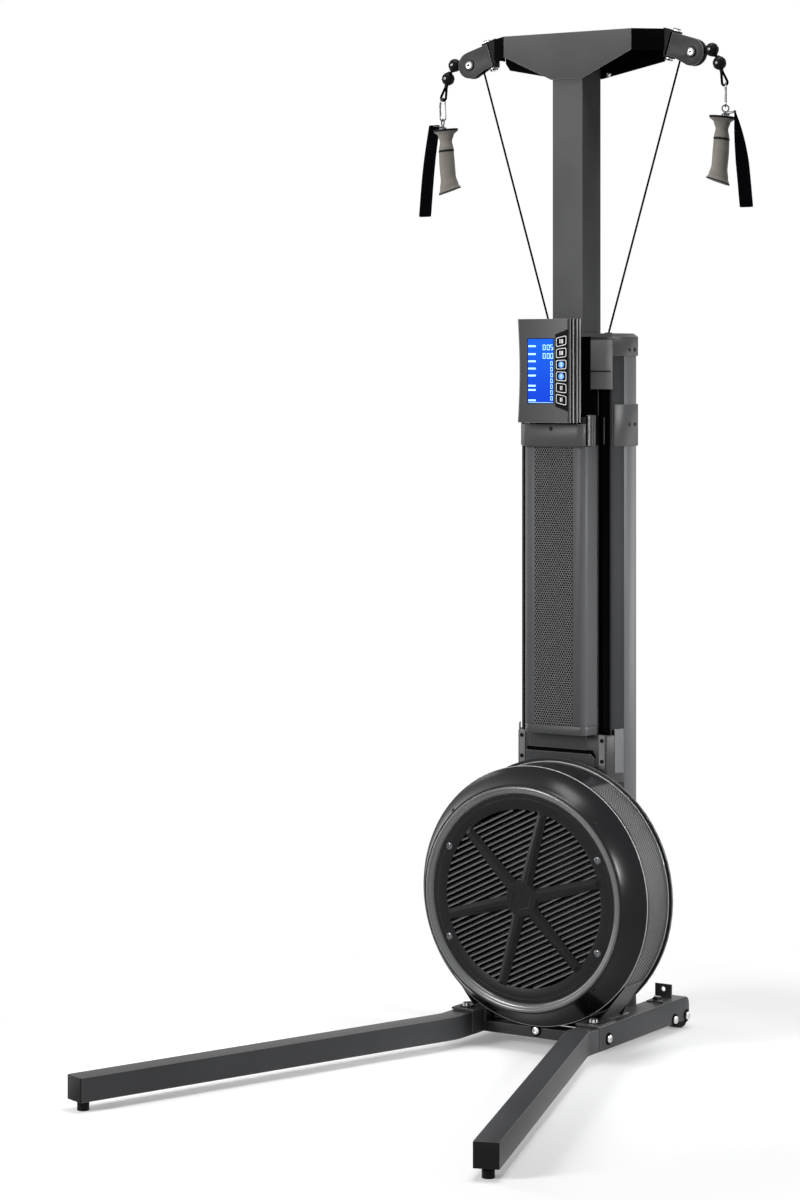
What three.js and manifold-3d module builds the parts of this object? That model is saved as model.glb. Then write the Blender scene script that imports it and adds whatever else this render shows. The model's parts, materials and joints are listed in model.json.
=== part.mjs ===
// A free-standing ski trainer: a mast with two swivelling pulleys, a tower with a console,
// a fan drum that brakes the two drive cords, and a low base with two splayed legs.
// Millimetres, +X to the right seen from the user, +Y to the back, +Z up.
import * as THREE from 'three';
import { mergeVertices } from 'three/addons/utils/BufferGeometryUtils.js';
import Module from 'manifold-3d';

const wasm = await Module();
wasm.setup();

// Clearances and drawing values
const fitGap = 0.3;
const cutOverrun = 5;
const weldTolerance = 0.0005;
const roundSegments = 24;
const wheelSegments = 24;
const drumSegments = 64;
const smallRoundSegments = 12;
const ballSegments = 16;
const ballRings = 8;
const filletSteps = 4;
const housingEndSteps = 12;
const fullTurn = Math.PI * 2;

// Mast and crossbar
const mastWidth = 74;
const mastDepth = 80;
const mastWall = 3;
const mastFootZ = 1180;
const overallHeight = 2150;
const hoodSheet = 3;
const hoodFrontHalfWidth = 157;
const hoodHalfWidth = 208;
const hoodWingEndY = 0;
const hoodBandHeight = 45;
const hoodApronHeight = 100;
const hoodApronHalfWidth = 39;
const backPlateHalfWidth = 203;
const backPlateShoulderHeight = 50;
const backPlateSlopeHeight = 66;
const backPlateSlopeInset = 11;
const backPlateDepth = 96;
const backPlateFootHalfWidth = 40;

// Swivelling pulley housings
const pulleyPlaneY = 15;
const swivelTiltDegrees = 17.5;
const swivelAxisX = 226;
const swivelAxisZ = 2116;
const housingWidth = 20;
const housingSheet = 3;
const housingTop = 25.5;
const housingBottom = 25;
const housingBackReach = 3.5;
const knuckleRadius = 7.5;
const throatReach = 8.6;
const housingTabReach = 14;
const housingEndRadius = 29;
const pulleyReach = 51.5;
const pulleyDrop = 3.5;
const pulleyRadius = 27.5;
const pulleyGrooveRadius = 23;
const pulleyWidth = 12;
const pulleyGrooveWidth = 7;
const pulleyBoltRadius = 5;
const pulleyHeadRadius = 10.5;
const pulleyHeadHeight = 3.5;
const swivelPinRadius = 4.5;
const swivelHeadRadius = 8.5;
const swivelHeadHeight = 5;
const earThickness = 4;
const earReach = 9;

// Drive cords and their ends
const cordDiameter = 4.4;
const cordSides = 8;
const cordBendSteps = 8;
const wireSides = 6;
const wireBendSteps = 6;
const eyeletX = 70;
const eyeletRadius = 6;
const stopUpperReach = 44.5;
const stopUpperAngleDegrees = 4;
const stopUpperRadius = 14.5;
const stopLowerX = 336;
const stopLowerZ = 2071;
const stopLowerRadius = 14.5;
const loopCordRadius = 1.6;
const loopHalfWidth = 6;
const loopFootX = 350;
const loopFootZ = 2024;

// Snap hooks, eyes, grips and straps
const wireRadius = 1.6;
const wireJointShare = 1.05;
const hookLength = 50;
const hookHalfWidth = 7;
const hookTurnDegrees = 57;
const hookSlack = 1.5;
const eyeSlack = 0.4;
const eyeRingRadius = 7;
const eyeShankRadius = 3;
const eyeShankLength = 8;
const eyeBaseRadius = 9;
const eyeBaseHeight = 4;
const gripOffsetX = 8;
const gripLength = 138;
const gripTurnDegrees = { left: -32, right: 32 };
const gripFlangeLong = 27;
const gripFlangeShort = 17;
const gripFlangeHeight = 5;
const gripWaistRadius = 16;
const gripFootRadius = 25;
const gripFootShort = 20;
const gripFootShift = 9;
const gripFootSlopeDegrees = 20;
const gripSides = 16;
// Each row: share of the grip's length, then the long and short half widths as shares of the waist's radius
const gripStationShares = [
  [0.08, 1.25, 1], [0.18, 1, 0.9], [0.33, 1.156, 1], [0.37, 1.156, 1], [0.55, 1.125, 1],
  [0.78, 1.07, 1], [0.93, 1.375, 1.125],
];
const strapWidth = 29;
const strapThickness = 5;
const strapLength = 192;
const strapTopWidth = 20;
const strapWideShare = 0.6;
const strapTuck = 1.3;
const strapLean = { left: 28, right: 25 };

// Tower
const towerHalfWidth = 124.5;
const towerFrontHalfWidth = 110.6;
const towerFrontY = -44;
const towerShoulderY = -14.5;
const towerBackY = 43.3;
const towerWall = 2.7;
const towerFootZ = 22;
const towerTopZ = 1498;
const towerBackFillet = 6;
const towerGrooveInner = 78;
const towerGrooveOuter = 106;
const towerGrooveDepth = 22;
const shaftWindowRadius = 34;

// Tower cap, rear collar and front plate
const capSheet = 2.7;
const capTopZ = 1505;
const capSkirtZ = 1457;
const capFrontSkirtZ = 1491;
const capEdgeDrop = 7;
const capBackReach = 4;
const rearCollarFootZ = 1264.5;
const rearCollarTopZ = 1354;
const rearCollarFrontY = -40;
const frontPlateSheet = 3;
const frontPlateHalfWidth = 112.6;
const frontPlateFootZ = 1386;

// Front casing, its collar, grille and foot cap, and the neck
const casingHalfWidth = 76.6;
const casingFrontY = -99;
const casingFillet = 15;
const casingWall = 3;
const casingFootZ = 672;
const casingTopZ = 1265;
const grilleHalfWidth = 46;
const grilleSheet = 1;
const collarFrontY = -111;
const collarSideReach = 1.5;
const collarTopZ = 1327;
const collarShelfZ = 1312;
const collarShelfY = -92;
const collarFloor = 4;
const footCapHeight = 20;
const neckHalfWidth = 108.4;
const neckFrontY = -64;
const neckHeight = 100;
const neckFillet = 5;
const neckWing = 3;
const neckWingY = -20;
const bungeeRadius = 5;
const bungeeY = -70;

// Console
const consoleHalfWidth = 65.3;
const consoleFrontY = -146.5;
const consoleBackY = -97;
const consoleFootZ = 1315.5;
const consoleHeight = 219.5;
const consoleFillet = 4;
const consoleGrooveDepth = 2.5;
const consoleGrooveWidth = 4;
const consoleBandDepth = 15;
const screenLeftX = -35.1;
const screenRightX = 27.6;
const screenFootZ = 1357;
const screenTopZ = 1492.6;
const screenThickness = 2;
const screenSetBack = 0.6;
const keyCount = 6;
const keyPitch = 24.6;
const keyMiddleZ = 1426;
const keyMiddleX = 45.5;
const keyWidth = 27;
const keyHeight = 20.5;
const keyThickness = 4;
const keyProud = 1.2;
const keyTravel = 1;
const keyFillet = 4;
const pivotY = -84;
const pivotZ = 1425;
const pivotPinRadius = 4;
const pivotLugRadius = 8;
const pivotKnuckleHalfWidth = 13;
const pivotArmThickness = 6;

// Fan drum
const fanCentreZ = 321;
const shroudRimRadius = 273;
const shroudRimY = -180;
const shroudLip = 4;
const shroudSheet = 3;
const beadRadius = 232;
const beadFrontY = -237;
const beadHalfWidth = 6;
const bevelFrontRadius = 240;
const panelRadius = 218;
const panelFrontY = -228.5;
const panelThickness = 4;
const louvreRadius = 188;
const louvrePitch = 12.5;
const louvreSlot = 8.5;
const louvreSlopeDegrees = 26;
const strutCount = 6;
const strutHalfWidth = 15;
const strutHeight = 7;
const strutCrestShare = 0.3;
const strutHubRadius = 46;
const strutTurnShare = 0.25;
const strutHubTurnShare = 0.75;
const bandRadius = 271.5;
const bandSheet = 2;
const backPlateRadius = 280;
const fanBackY = -92;
const fanBackThickness = 6;
const bossRadius = 34;
const cartridgeRadius = 26;
const rotorRadius = 250;
const rotorDiscY = -104;
const rotorDiscThickness = 3;
const rotorBladeCount = 16;
const rotorBladeInner = 120;
const rotorBladeDepth = 58;
const rotorBladeSheet = 2.5;
const rotorHubRadius = 34;
const rotorHubLength = 66;
const shaftRadius = 8.5;
const shaftFrontY = -176;
const drumCoreRadius = 30;
const drumFlangeRadius = 39;
const drumWidth = 20;
const drumFlangeSheet = 2.5;
const leftDrumY = -20;
const cradleStartDegrees = -38.5;
const cradleSheet = 3;
const cradleFrontY = -175;
const cradleFlangeFrontY = -146;
const cradleFlangeWidth = 26;

// Base
const barSize = 50;
const barWall = 3;
const barOuterX = 179;
const barFrontY = -217;
const barRearY = 178;
const barFootZ = 20;
const barRearFillet = 18;
const towerLugWidth = 36;
const towerLugY = 12;
const crossFrontY = -172;
const crossDepth = 40;
const crossHeight = 22;
const cornerPlateSheet = 4;
const cornerPlateOverlap = 5;
const cornerPlateRearY = -150;
const cornerBoltInset = 17;
const boltHeadRadius = 8.5;
const boltHeadHeight = 7;
const washerRadius = 12;
const washerHeight = 2;
const tabWidth = 40;
const tabSheet = 3;
const tabHeight = 34;
const tabFrontY = 106;
const tabFootLength = 42;
const tabHoleRadius = 5;
const tabHoleHeight = 23;
const tabBoltY = 80;
const wheelRadius = 28;
const wheelWidth = 30;
const wheelY = 166;
const wheelSlotMargin = 4;
const wheelFillet = 3;
const axleRadius = 6;
const axleHeadRadius = 9;
const axleHeadHeight = 5;

// Legs and feet
const legSize = 48;
const legWall = 2.5;
const legBendY = -269;
const legBendRadius = 90;
const legSplayDegrees = 19.7;
const legEndY = -1134;
const sleeveLength = 60;
const sleeveInset = 12;
const sleeveSize = 43.2;
const endCapSheet = 3;
const endCapPlug = 12;
const footInset = 18;
const footRadius = 12;
const footHeight = 17;
const footStudRadius = 5;
const footStudLength = 34;

// Places worked out from the sizes above
const hoodFrontY = -(mastDepth / 2 + fitGap + hoodSheet);
const hoodBackY = mastDepth / 2 + fitGap + hoodSheet;
const housingInnerHalf = housingWidth / 2 - housingSheet;
const cordRadius = cordDiameter / 2;
const cordWrapRadius = pulleyGrooveRadius + cordRadius + fitGap;
const swivelTilt = THREE.MathUtils.degToRad(swivelTiltDegrees);
const barInnerX = barOuterX - barSize;
const barCentreX = barOuterX - barSize / 2;
const barTopZ = barFootZ + barSize;
const consoleTopZ = consoleFootZ + consoleHeight;
const neckTopZ = casingFootZ - footCapHeight - fitGap;
const legSplay = THREE.MathUtils.degToRad(legSplayDegrees);
const wheelZ = wheelRadius;
const fanBackRearY = fanBackY + fanBackThickness;
const rightDrumY = pulleyPlaneY;
const drumCordX = drumCoreRadius + cordRadius + fitGap;

// Finishes
const finishes = {
  paint: { color: 0x26282a, roughness: 0.42, metalness: 0.35 },
  casing: { color: 0x232527, roughness: 0.38, metalness: 0.45 },
  plastic: { color: 0x1c1d1f, roughness: 0.55, metalness: 0.0 },
  gloss: { color: 0x17181a, roughness: 0.25, metalness: 0.0 },
  steel: { color: 0xb9bcc0, roughness: 0.3, metalness: 1.0 },
  chrome: { color: 0xd9dce0, roughness: 0.12, metalness: 1.0 },
  rubber: { color: 0x141415, roughness: 0.8, metalness: 0.0 },
  grip: { color: 0x8f887c, roughness: 0.6, metalness: 0.0 },
  webbing: { color: 0x17181a, roughness: 0.9, metalness: 0.0 },
  cord: { color: 0x111112, roughness: 0.8, metalness: 0.0 },
  screen: { color: 0x1e74e6, roughness: 0.15, metalness: 0.0 },
};

// Small geometry tools
function cleaned(geometry) {
  const bare = geometry.index ? geometry.toNonIndexed() : geometry.clone();
  for (const name of Object.keys(bare.attributes)) {
    if (name !== 'position') bare.deleteAttribute(name);
  }
  const merged = mergeVertices(bare, weldTolerance);
  const corners = merged.index.array;
  const kept = [];
  for (let i = 0; i < corners.length; i += 3) {
    const [a, b, c] = [corners[i], corners[i + 1], corners[i + 2]];
    if (a !== b && b !== c && a !== c) kept.push(a, b, c);
  }
  merged.setIndex(kept);
  return signedVolume(merged) < 0 ? flipped(merged) : merged;
}

function signedVolume(geometry) {
  const place = geometry.attributes.position;
  const corners = geometry.index.array;
  const [a, b, c] = [new THREE.Vector3(), new THREE.Vector3(), new THREE.Vector3()];
  let total = 0;
  for (let i = 0; i < corners.length; i += 3) {
    a.fromBufferAttribute(place, corners[i]);
    b.fromBufferAttribute(place, corners[i + 1]);
    c.fromBufferAttribute(place, corners[i + 2]);
    total += a.dot(b.cross(c));
  }
  return total;
}

function flipped(geometry) {
  const corners = Array.from(geometry.index.array);
  for (let i = 0; i < corners.length; i += 3) {
    [corners[i + 1], corners[i + 2]] = [corners[i + 2], corners[i + 1]];
  }
  geometry.setIndex(corners);
  return geometry;
}

function solidOf(geometry) {
  const clean = cleaned(geometry);
  return new wasm.Manifold(new wasm.Mesh({
    numProp: 3,
    vertProperties: new Float32Array(clean.attributes.position.array),
    triVerts: new Uint32Array(clean.index.array),
  }));
}

function geometryOf(solid) {
  const mesh = solid.getMesh();
  const geometry = new THREE.BufferGeometry();
  geometry.setAttribute('position', new THREE.BufferAttribute(new Float32Array(mesh.vertProperties), 3));
  geometry.setIndex(Array.from(mesh.triVerts));
  return geometry;
}

function join(first, ...others) {
  return geometryOf(others.reduce((sum, other) => sum.add(solidOf(other)), solidOf(first)));
}

function cut(first, ...others) {
  return geometryOf(others.reduce((rest, other) => rest.subtract(solidOf(other)), solidOf(first)));
}

function mirrored(geometry, sign) {
  if (sign > 0) return geometry;
  return cleaned(geometry.clone().scale(-1, 1, 1));
}

function box(x0, x1, y0, y1, z0, z1) {
  const geometry = new THREE.BoxGeometry(Math.abs(x1 - x0), Math.abs(y1 - y0), Math.abs(z1 - z0));
  return geometry.translate((x0 + x1) / 2, (y0 + y1) / 2, (z0 + z1) / 2);
}

function shapeOf(points) {
  return new THREE.Shape(points.map(([x, y]) => new THREE.Vector2(x, y)));
}

function prismZ(points, z0, z1) {
  const depth = z1 - z0;
  return new THREE.ExtrudeGeometry(shapeOf(points), { depth, bevelEnabled: false }).translate(0, 0, z0);
}

function prismY(points, y0, y1) {
  const depth = y1 - y0;
  const flat = new THREE.ExtrudeGeometry(shapeOf(points), { depth, bevelEnabled: false });
  return flat.rotateX(Math.PI / 2).translate(0, y1, 0);
}

function prismX(points, x0, x1) {
  const depth = x1 - x0;
  const flat = new THREE.ExtrudeGeometry(shapeOf(points), { depth, bevelEnabled: false });
  return flat.rotateX(Math.PI / 2).rotateZ(Math.PI / 2).translate(x0, 0, 0);
}

function latheY(profile, segments = roundSegments) {
  return new THREE.LatheGeometry(profile.map(([r, y]) => new THREE.Vector2(r, y)), segments);
}

function latheZ(profile, segments = roundSegments) {
  return latheY(profile, segments).rotateX(Math.PI / 2);
}

function rodY(radius, y0, y1, segments = roundSegments) {
  return latheY([[0, y0], [radius, y0], [radius, y1], [0, y1]], segments);
}

function rodZ(radius, z0, z1, segments = roundSegments) {
  return latheZ([[0, z0], [radius, z0], [radius, z1], [0, z1]], segments);
}

function rodX(radius, x0, x1, segments = roundSegments) {
  return rodZ(radius, x0, x1, segments).rotateY(Math.PI / 2);
}

// Rounds the corners of a closed outline; radii has one value for each point.
function rounded(points, radii) {
  const out = [];
  points.forEach((point, i) => {
    const radius = Array.isArray(radii) ? radii[i] : radii;
    const corner = new THREE.Vector2(...point);
    if (!radius) {
      out.push(point);
      return;
    }
    const before = new THREE.Vector2(...points[(i + points.length - 1) % points.length]);
    const after = new THREE.Vector2(...points[(i + 1) % points.length]);
    const toBefore = before.sub(corner).normalize();
    const toAfter = after.sub(corner).normalize();
    const half = Math.acos(toBefore.dot(toAfter)) / 2;
    const middle = toBefore.clone().add(toAfter).normalize();
    const centre = corner.clone().addScaledVector(middle, radius / Math.sin(half));
    const start = corner.clone().addScaledVector(toBefore, radius / Math.tan(half)).sub(centre);
    const end = corner.clone().addScaledVector(toAfter, radius / Math.tan(half)).sub(centre);
    const turn = Math.atan2(start.x * end.y - start.y * end.x, start.dot(end));
    for (let k = 0; k <= filletSteps; k += 1) {
      const spoke = start.clone().rotateAround(new THREE.Vector2(), (turn * k) / filletSteps);
      out.push([centre.x + spoke.x, centre.y + spoke.y]);
    }
  });
  return out;
}

function symmetric(rightHalf) {
  const left = rightHalf.filter(([x]) => x !== 0).map(([x, y]) => [-x, y]).reverse();
  return [...rightHalf, ...left];
}

// Skins rings of equally many points and closes both ends.
function loft(rings) {
  const count = rings[0].length;
  const points = rings.flat();
  const first = points.length;
  points.push(centreOf(rings[0]), centreOf(rings[rings.length - 1]));
  const faces = [];
  for (let j = 0; j + 1 < rings.length; j += 1) {
    for (let i = 0; i < count; i += 1) {
      const a = j * count + i;
      const b = j * count + ((i + 1) % count);
      faces.push(a, b, b + count, a, b + count, a + count);
    }
  }
  const last = (rings.length - 1) * count;
  for (let i = 0; i < count; i += 1) {
    const next = (i + 1) % count;
    faces.push(first, next, i, first + 1, last + i, last + next);
  }
  const geometry = new THREE.BufferGeometry();
  geometry.setAttribute('position', new THREE.Float32BufferAttribute(points.flatMap((p) => p.toArray()), 3));
  geometry.setIndex(faces);
  return geometry;
}

function centreOf(ring) {
  return ring.reduce((sum, p) => sum.add(p), new THREE.Vector3()).divideScalar(ring.length);
}

// A round tube through a list of points that lie in one upright plane with the given normal.
function tube(points, radius, sides, normal = new THREE.Vector3(0, 1, 0)) {
  const rings = points.map((point, i) => {
    const back = points[Math.max(i - 1, 0)];
    const ahead = points[Math.min(i + 1, points.length - 1)];
    const into = point.clone().sub(back).normalize();
    const out = ahead.clone().sub(point).normalize();
    const along = into.clone().add(out).normalize();
    const across = new THREE.Vector3().crossVectors(normal, along).normalize();
    const stretch = i === 0 || i === points.length - 1 ? 1 : 1 / Math.max(along.dot(out), 0.5);
    const upright = new THREE.Vector3().crossVectors(along, across).normalize();
    return Array.from({ length: sides }, (_, k) => {
      const angle = (fullTurn * (k + 0.5)) / sides;
      return point.clone()
        .addScaledVector(across, radius * stretch * Math.cos(angle))
        .addScaledVector(upright, radius * Math.sin(angle));
    });
  });
  return loft(rings);
}

const machine = new THREE.Group();
const materials = Object.fromEntries(
  Object.entries(finishes).map(([name, look]) => [name, new THREE.MeshStandardMaterial(look)]),
);

function place(name, geometry, finish, parent = machine) {
  const mesh = new THREE.Mesh(cleaned(geometry), materials[finish]);
  mesh.name = name;
  parent.add(mesh);
  return mesh;
}

const sides = [{ name: 'left', sign: -1 }, { name: 'right', sign: 1 }];

// Mast: a rectangular tube that stands in the tower and carries the crossbar
function makeMast() {
  const topZ = overallHeight - hoodSheet - fitGap;
  const [halfWidth, halfDepth] = [mastWidth / 2, mastDepth / 2];
  const outer = box(-halfWidth, halfWidth, -halfDepth, halfDepth, mastFootZ, topZ);
  const bore = box(
    mastWall - halfWidth, halfWidth - mastWall, mastWall - halfDepth, halfDepth - mastWall,
    mastFootZ - cutOverrun, topZ + cutOverrun,
  );
  place('mast_tube', cut(outer, bore), 'paint');
}

// Crossbar: a bent sheet hood over the mast, closed behind by a plate
function makeCrossbar() {
  const bandZ = overallHeight - hoodBandHeight;
  const apronZ = overallHeight - hoodApronHeight;
  const plan = symmetric([
    [hoodFrontHalfWidth, hoodFrontY], [hoodHalfWidth, hoodWingEndY], [hoodHalfWidth, hoodBackY],
  ]);
  const wingRun = Math.hypot(hoodHalfWidth - hoodFrontHalfWidth, hoodWingEndY - hoodFrontY);
  const bevel = (hoodSheet * (wingRun - (hoodHalfWidth - hoodFrontHalfWidth))) / (hoodWingEndY - hoodFrontY);
  const rise = (hoodSheet * (wingRun - (hoodWingEndY - hoodFrontY))) / (hoodHalfWidth - hoodFrontHalfWidth);
  const hollow = symmetric([
    [hoodFrontHalfWidth - bevel, hoodFrontY + hoodSheet],
    [hoodHalfWidth - hoodSheet, hoodWingEndY + rise],
    [hoodHalfWidth - hoodSheet, hoodBackY + cutOverrun],
  ]);
  const shell = cut(
    prismZ(plan, bandZ, overallHeight),
    prismZ(hollow, bandZ - cutOverrun, overallHeight - hoodSheet),
  );
  const apron = prismY(symmetric([
    [hoodFrontHalfWidth, overallHeight], [hoodFrontHalfWidth, bandZ], [hoodApronHalfWidth, apronZ],
  ]), hoodFrontY, hoodFrontY + hoodSheet);
  place('crossbar_hood', join(shell, apron), 'paint');

  const rearTopZ = overallHeight - hoodSheet - fitGap;
  const rearPlate = prismY(symmetric([
    [backPlateHalfWidth, rearTopZ],
    [backPlateHalfWidth, overallHeight - backPlateShoulderHeight],
    [backPlateHalfWidth - backPlateSlopeInset, overallHeight - backPlateSlopeHeight],
    [backPlateFootHalfWidth, overallHeight - backPlateDepth],
  ]), hoodBackY - hoodSheet, hoodBackY);
  place('crossbar_back_plate', rearPlate, 'paint');
}

// Place of the pulley centre, seen from the front on the right side
const pulleyCentre = new THREE.Vector3(pulleyReach, 0, -pulleyDrop)
  .applyAxisAngle(new THREE.Vector3(0, 1, 0), swivelTilt)
  .add(new THREE.Vector3(swivelAxisX, pulleyPlaneY, swivelAxisZ));

// Yoke, swivelling housing and wheel of each pulley, drawn about the swivel axis
function makePulleys() {
  const earInner = housingTop + fitGap;
  const earOuter = earInner + earThickness;
  const lowEarInner = -(housingBottom + fitGap);
  const lowEarOuter = lowEarInner - earThickness;
  const yokeHalf = housingWidth / 2;
  const block = box(-swivelAxisX, earReach, -yokeHalf, yokeHalf, lowEarOuter, earOuter);
  const throat = box(
    -throatReach, earReach + cutOverrun, -(yokeHalf + cutOverrun), yokeHalf + cutOverrun,
    lowEarInner, earInner,
  );
  const behindHood = box(-swivelAxisX, hoodHalfWidth + fitGap, -hoodHalfWidth, hoodHalfWidth, 0, overallHeight * 2)
    .translate(-swivelAxisX, 0, -swivelAxisZ).rotateY(-swivelTilt);
  const pin = latheZ([
    [0, lowEarOuter - swivelHeadHeight], [swivelHeadRadius, lowEarOuter - swivelHeadHeight],
    [swivelHeadRadius, lowEarOuter], [swivelPinRadius, lowEarOuter],
    [swivelPinRadius, earOuter], [swivelHeadRadius, earOuter],
    [swivelHeadRadius, earOuter + swivelHeadHeight], [0, earOuter + swivelHeadHeight],
  ]);
  const yoke = join(cut(block, throat, behindHood), pin);

  const cheek = [];
  const bellyStart = -Math.PI / 2 - Math.PI / 8;
  const bellyEnd = Math.PI / 2;
  cheek.push([-housingBackReach, housingTop], [-housingBackReach, -housingBottom]);
  cheek.push([housingTabReach, -housingBottom]);
  for (let i = 0; i <= housingEndSteps; i += 1) {
    const angle = bellyStart + ((bellyEnd - bellyStart) * i) / housingEndSteps;
    cheek.push([
      pulleyReach + housingEndRadius * Math.cos(angle),
      -pulleyDrop + housingEndRadius * Math.sin(angle),
    ]);
  }
  const halfWidth = housingWidth / 2;
  const nearCheek = prismY(cheek, -halfWidth, -housingInnerHalf);
  const farCheek = prismY(cheek, housingInnerHalf, halfWidth);
  const knuckle = rodZ(knuckleRadius, -housingBottom, housingTop);
  const pinBore = rodZ(swivelPinRadius + fitGap, -(housingBottom + cutOverrun), housingTop + cutOverrun);
  const topTab = box(
    -housingBackReach, housingTabReach, -halfWidth, halfWidth, housingTop - housingSheet, housingTop,
  );
  const lowTab = box(
    -housingBackReach, housingTabReach, -halfWidth, halfWidth, -housingBottom, housingSheet - housingBottom,
  );
  const headY = halfWidth + pulleyHeadHeight;
  const bolt = latheY([
    [0, -headY], [pulleyHeadRadius, -headY], [pulleyHeadRadius, -halfWidth], [pulleyBoltRadius, -halfWidth],
    [pulleyBoltRadius, halfWidth], [pulleyHeadRadius, halfWidth], [pulleyHeadRadius, headY], [0, headY],
  ]).translate(pulleyReach, 0, -pulleyDrop);
  const housing = join(cut(join(nearCheek, farCheek, knuckle, topTab, lowTab), pinBore), bolt);

  const bore = pulleyBoltRadius + fitGap;
  const [rimHalf, grooveHalf] = [pulleyWidth / 2, pulleyGrooveWidth / 2];
  const wheel = latheY([
    [bore, -rimHalf], [pulleyRadius, -rimHalf], [pulleyRadius, -grooveHalf], [pulleyGrooveRadius, -cordRadius],
    [pulleyGrooveRadius, cordRadius], [pulleyRadius, grooveHalf], [pulleyRadius, rimHalf], [bore, rimHalf],
    [bore, -rimHalf],
  ], wheelSegments).translate(pulleyReach, 0, -pulleyDrop);

  for (const side of sides) {
    const swivel = new THREE.Group();
    swivel.position.set(side.sign * swivelAxisX, pulleyPlaneY, swivelAxisZ);
    swivel.rotation.y = side.sign * swivelTilt;
    machine.add(swivel);
    place(`swivel_yoke_${side.name}`, mirrored(yoke, side.sign), 'paint', swivel);
    place(`pulley_housing_${side.name}`, mirrored(housing, side.sign), 'plastic', swivel);
    place(`pulley_wheel_${side.name}`, mirrored(wheel, side.sign), 'plastic', swivel);
  }
}

const stopUpperAngle = THREE.MathUtils.degToRad(stopUpperAngleDegrees);
const stopUpper = new THREE.Vector3(
  pulleyCentre.x + stopUpperReach * Math.cos(stopUpperAngle), pulleyPlaneY,
  pulleyCentre.z + stopUpperReach * Math.sin(stopUpperAngle),
);
const stopLower = new THREE.Vector3(stopLowerX, pulleyPlaneY, stopLowerZ);
const loopFoot = new THREE.Vector3(loopFootX, pulleyPlaneY, loopFootZ);
const eyelet = new THREE.Vector3(eyeletX, pulleyPlaneY, capTopZ);

// Angle at which a line from a point touches the cord's circle round the pulley
function touchAngle(from, turn) {
  const away = from.clone().sub(pulleyCentre);
  const reach = Math.hypot(away.x, away.z);
  return Math.atan2(away.z, away.x) + turn * Math.acos(cordWrapRadius / reach);
}

// Drive cords: from the drum in the tower, out of the cap, over the pulley, to the first stop
function makeCords() {
  const upAngle = touchAngle(eyelet, -1) + fullTurn;
  const downAngle = touchAngle(stopUpper, 1);
  const wrap = [];
  for (let i = 0; i <= cordBendSteps; i += 1) {
    const angle = upAngle + ((downAngle - upAngle) * i) / cordBendSteps;
    wrap.push(new THREE.Vector3(
      pulleyCentre.x + cordWrapRadius * Math.cos(angle), pulleyPlaneY,
      pulleyCentre.z + cordWrapRadius * Math.sin(angle),
    ));
  }
  const leaving = stopUpper.clone().sub(wrap[wrap.length - 1]).normalize();
  const last = stopUpper.clone().addScaledVector(leaving, -(stopUpperRadius + fitGap));
  for (const side of sides) {
    const drumY = side.sign > 0 ? rightDrumY : leftDrumY;
    const start = new THREE.Vector3(side.sign * drumCordX, drumY, fanCentreZ);
    const route = [start, eyelet, ...wrap, last].map((p) => p.clone());
    place(`drive_cord_${side.name}`, mirrored(tube(route, cordRadius, cordSides), side.sign), 'cord');
  }

  const link = tube([stopUpper, stopLower], cordRadius, cordSides);
  const ball = (centre, radius) => new THREE.SphereGeometry(radius, ballSegments, ballRings)
    .translate(centre.x, centre.y, centre.z);
  const down = loopFoot.clone().sub(stopLower).normalize();
  const across = new THREE.Vector3().crossVectors(down, new THREE.Vector3(0, 1, 0)).normalize();
  const bowCentre = loopFoot.clone().addScaledVector(down, -loopHalfWidth);
  const bow = [stopLower.clone()];
  for (let i = 0; i <= cordBendSteps; i += 1) {
    const angle = (Math.PI * i) / cordBendSteps;
    bow.push(bowCentre.clone()
      .addScaledVector(across, loopHalfWidth * Math.cos(angle))
      .addScaledVector(down, loopHalfWidth * Math.sin(angle)));
  }
  bow.push(stopLower.clone());
  const cordEnd = join(
    ball(stopUpper, stopUpperRadius), ball(stopLower, stopLowerRadius), link,
    tube(bow, loopCordRadius, wireSides),
  );
  for (const side of sides) place(`cord_end_${side.name}`, mirrored(cordEnd, side.sign), 'rubber');
}

const hookTop = loopFoot.clone().add(new THREE.Vector3(0, 0, loopCordRadius + wireRadius + hookSlack));
const hookFootZ = hookTop.z - hookLength;
const eyeTopZ = hookFootZ + 2 * wireRadius + eyeSlack;
const eyeCentreZ = eyeTopZ - eyeRingRadius;
const gripTopZ = eyeCentreZ - eyeRingRadius - eyeShankLength - fitGap;

// A closed ring of wire with straight flanks in the XZ plane
function wireLink(halfWidth, halfHeight, radius) {
  const straight = halfHeight - halfWidth;
  const points = [];
  const steps = wireBendSteps;
  for (let i = 0; i <= steps; i += 1) {
    const angle = (Math.PI * i) / steps;
    points.push(new THREE.Vector3(halfWidth * Math.cos(angle), 0, straight + halfWidth * Math.sin(angle)));
  }
  for (let i = 0; i <= steps; i += 1) {
    const angle = Math.PI + (Math.PI * i) / steps;
    points.push(new THREE.Vector3(halfWidth * Math.cos(angle), 0, -straight + halfWidth * Math.sin(angle)));
  }
  const upper = tube(points.slice(0, steps + 2), radius, wireSides);
  const lower = tube([...points.slice(steps + 1), points[0]], radius, wireSides);
  const joint = new THREE.SphereGeometry(radius * wireJointShare, wireSides, wireSides);
  return join(
    upper, lower,
    joint.clone().translate(halfWidth, 0, straight), joint.clone().translate(-halfWidth, 0, -straight),
  );
}

function ellipseRing(centre, long, short, slope = 0) {
  return Array.from({ length: gripSides }, (_, k) => {
    const angle = (fullTurn * k) / gripSides;
    const [x, y] = [long * Math.cos(angle), short * Math.sin(angle)];
    return new THREE.Vector3(centre.x + x, centre.y + y, centre.z + x * Math.tan(slope));
  });
}

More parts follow.
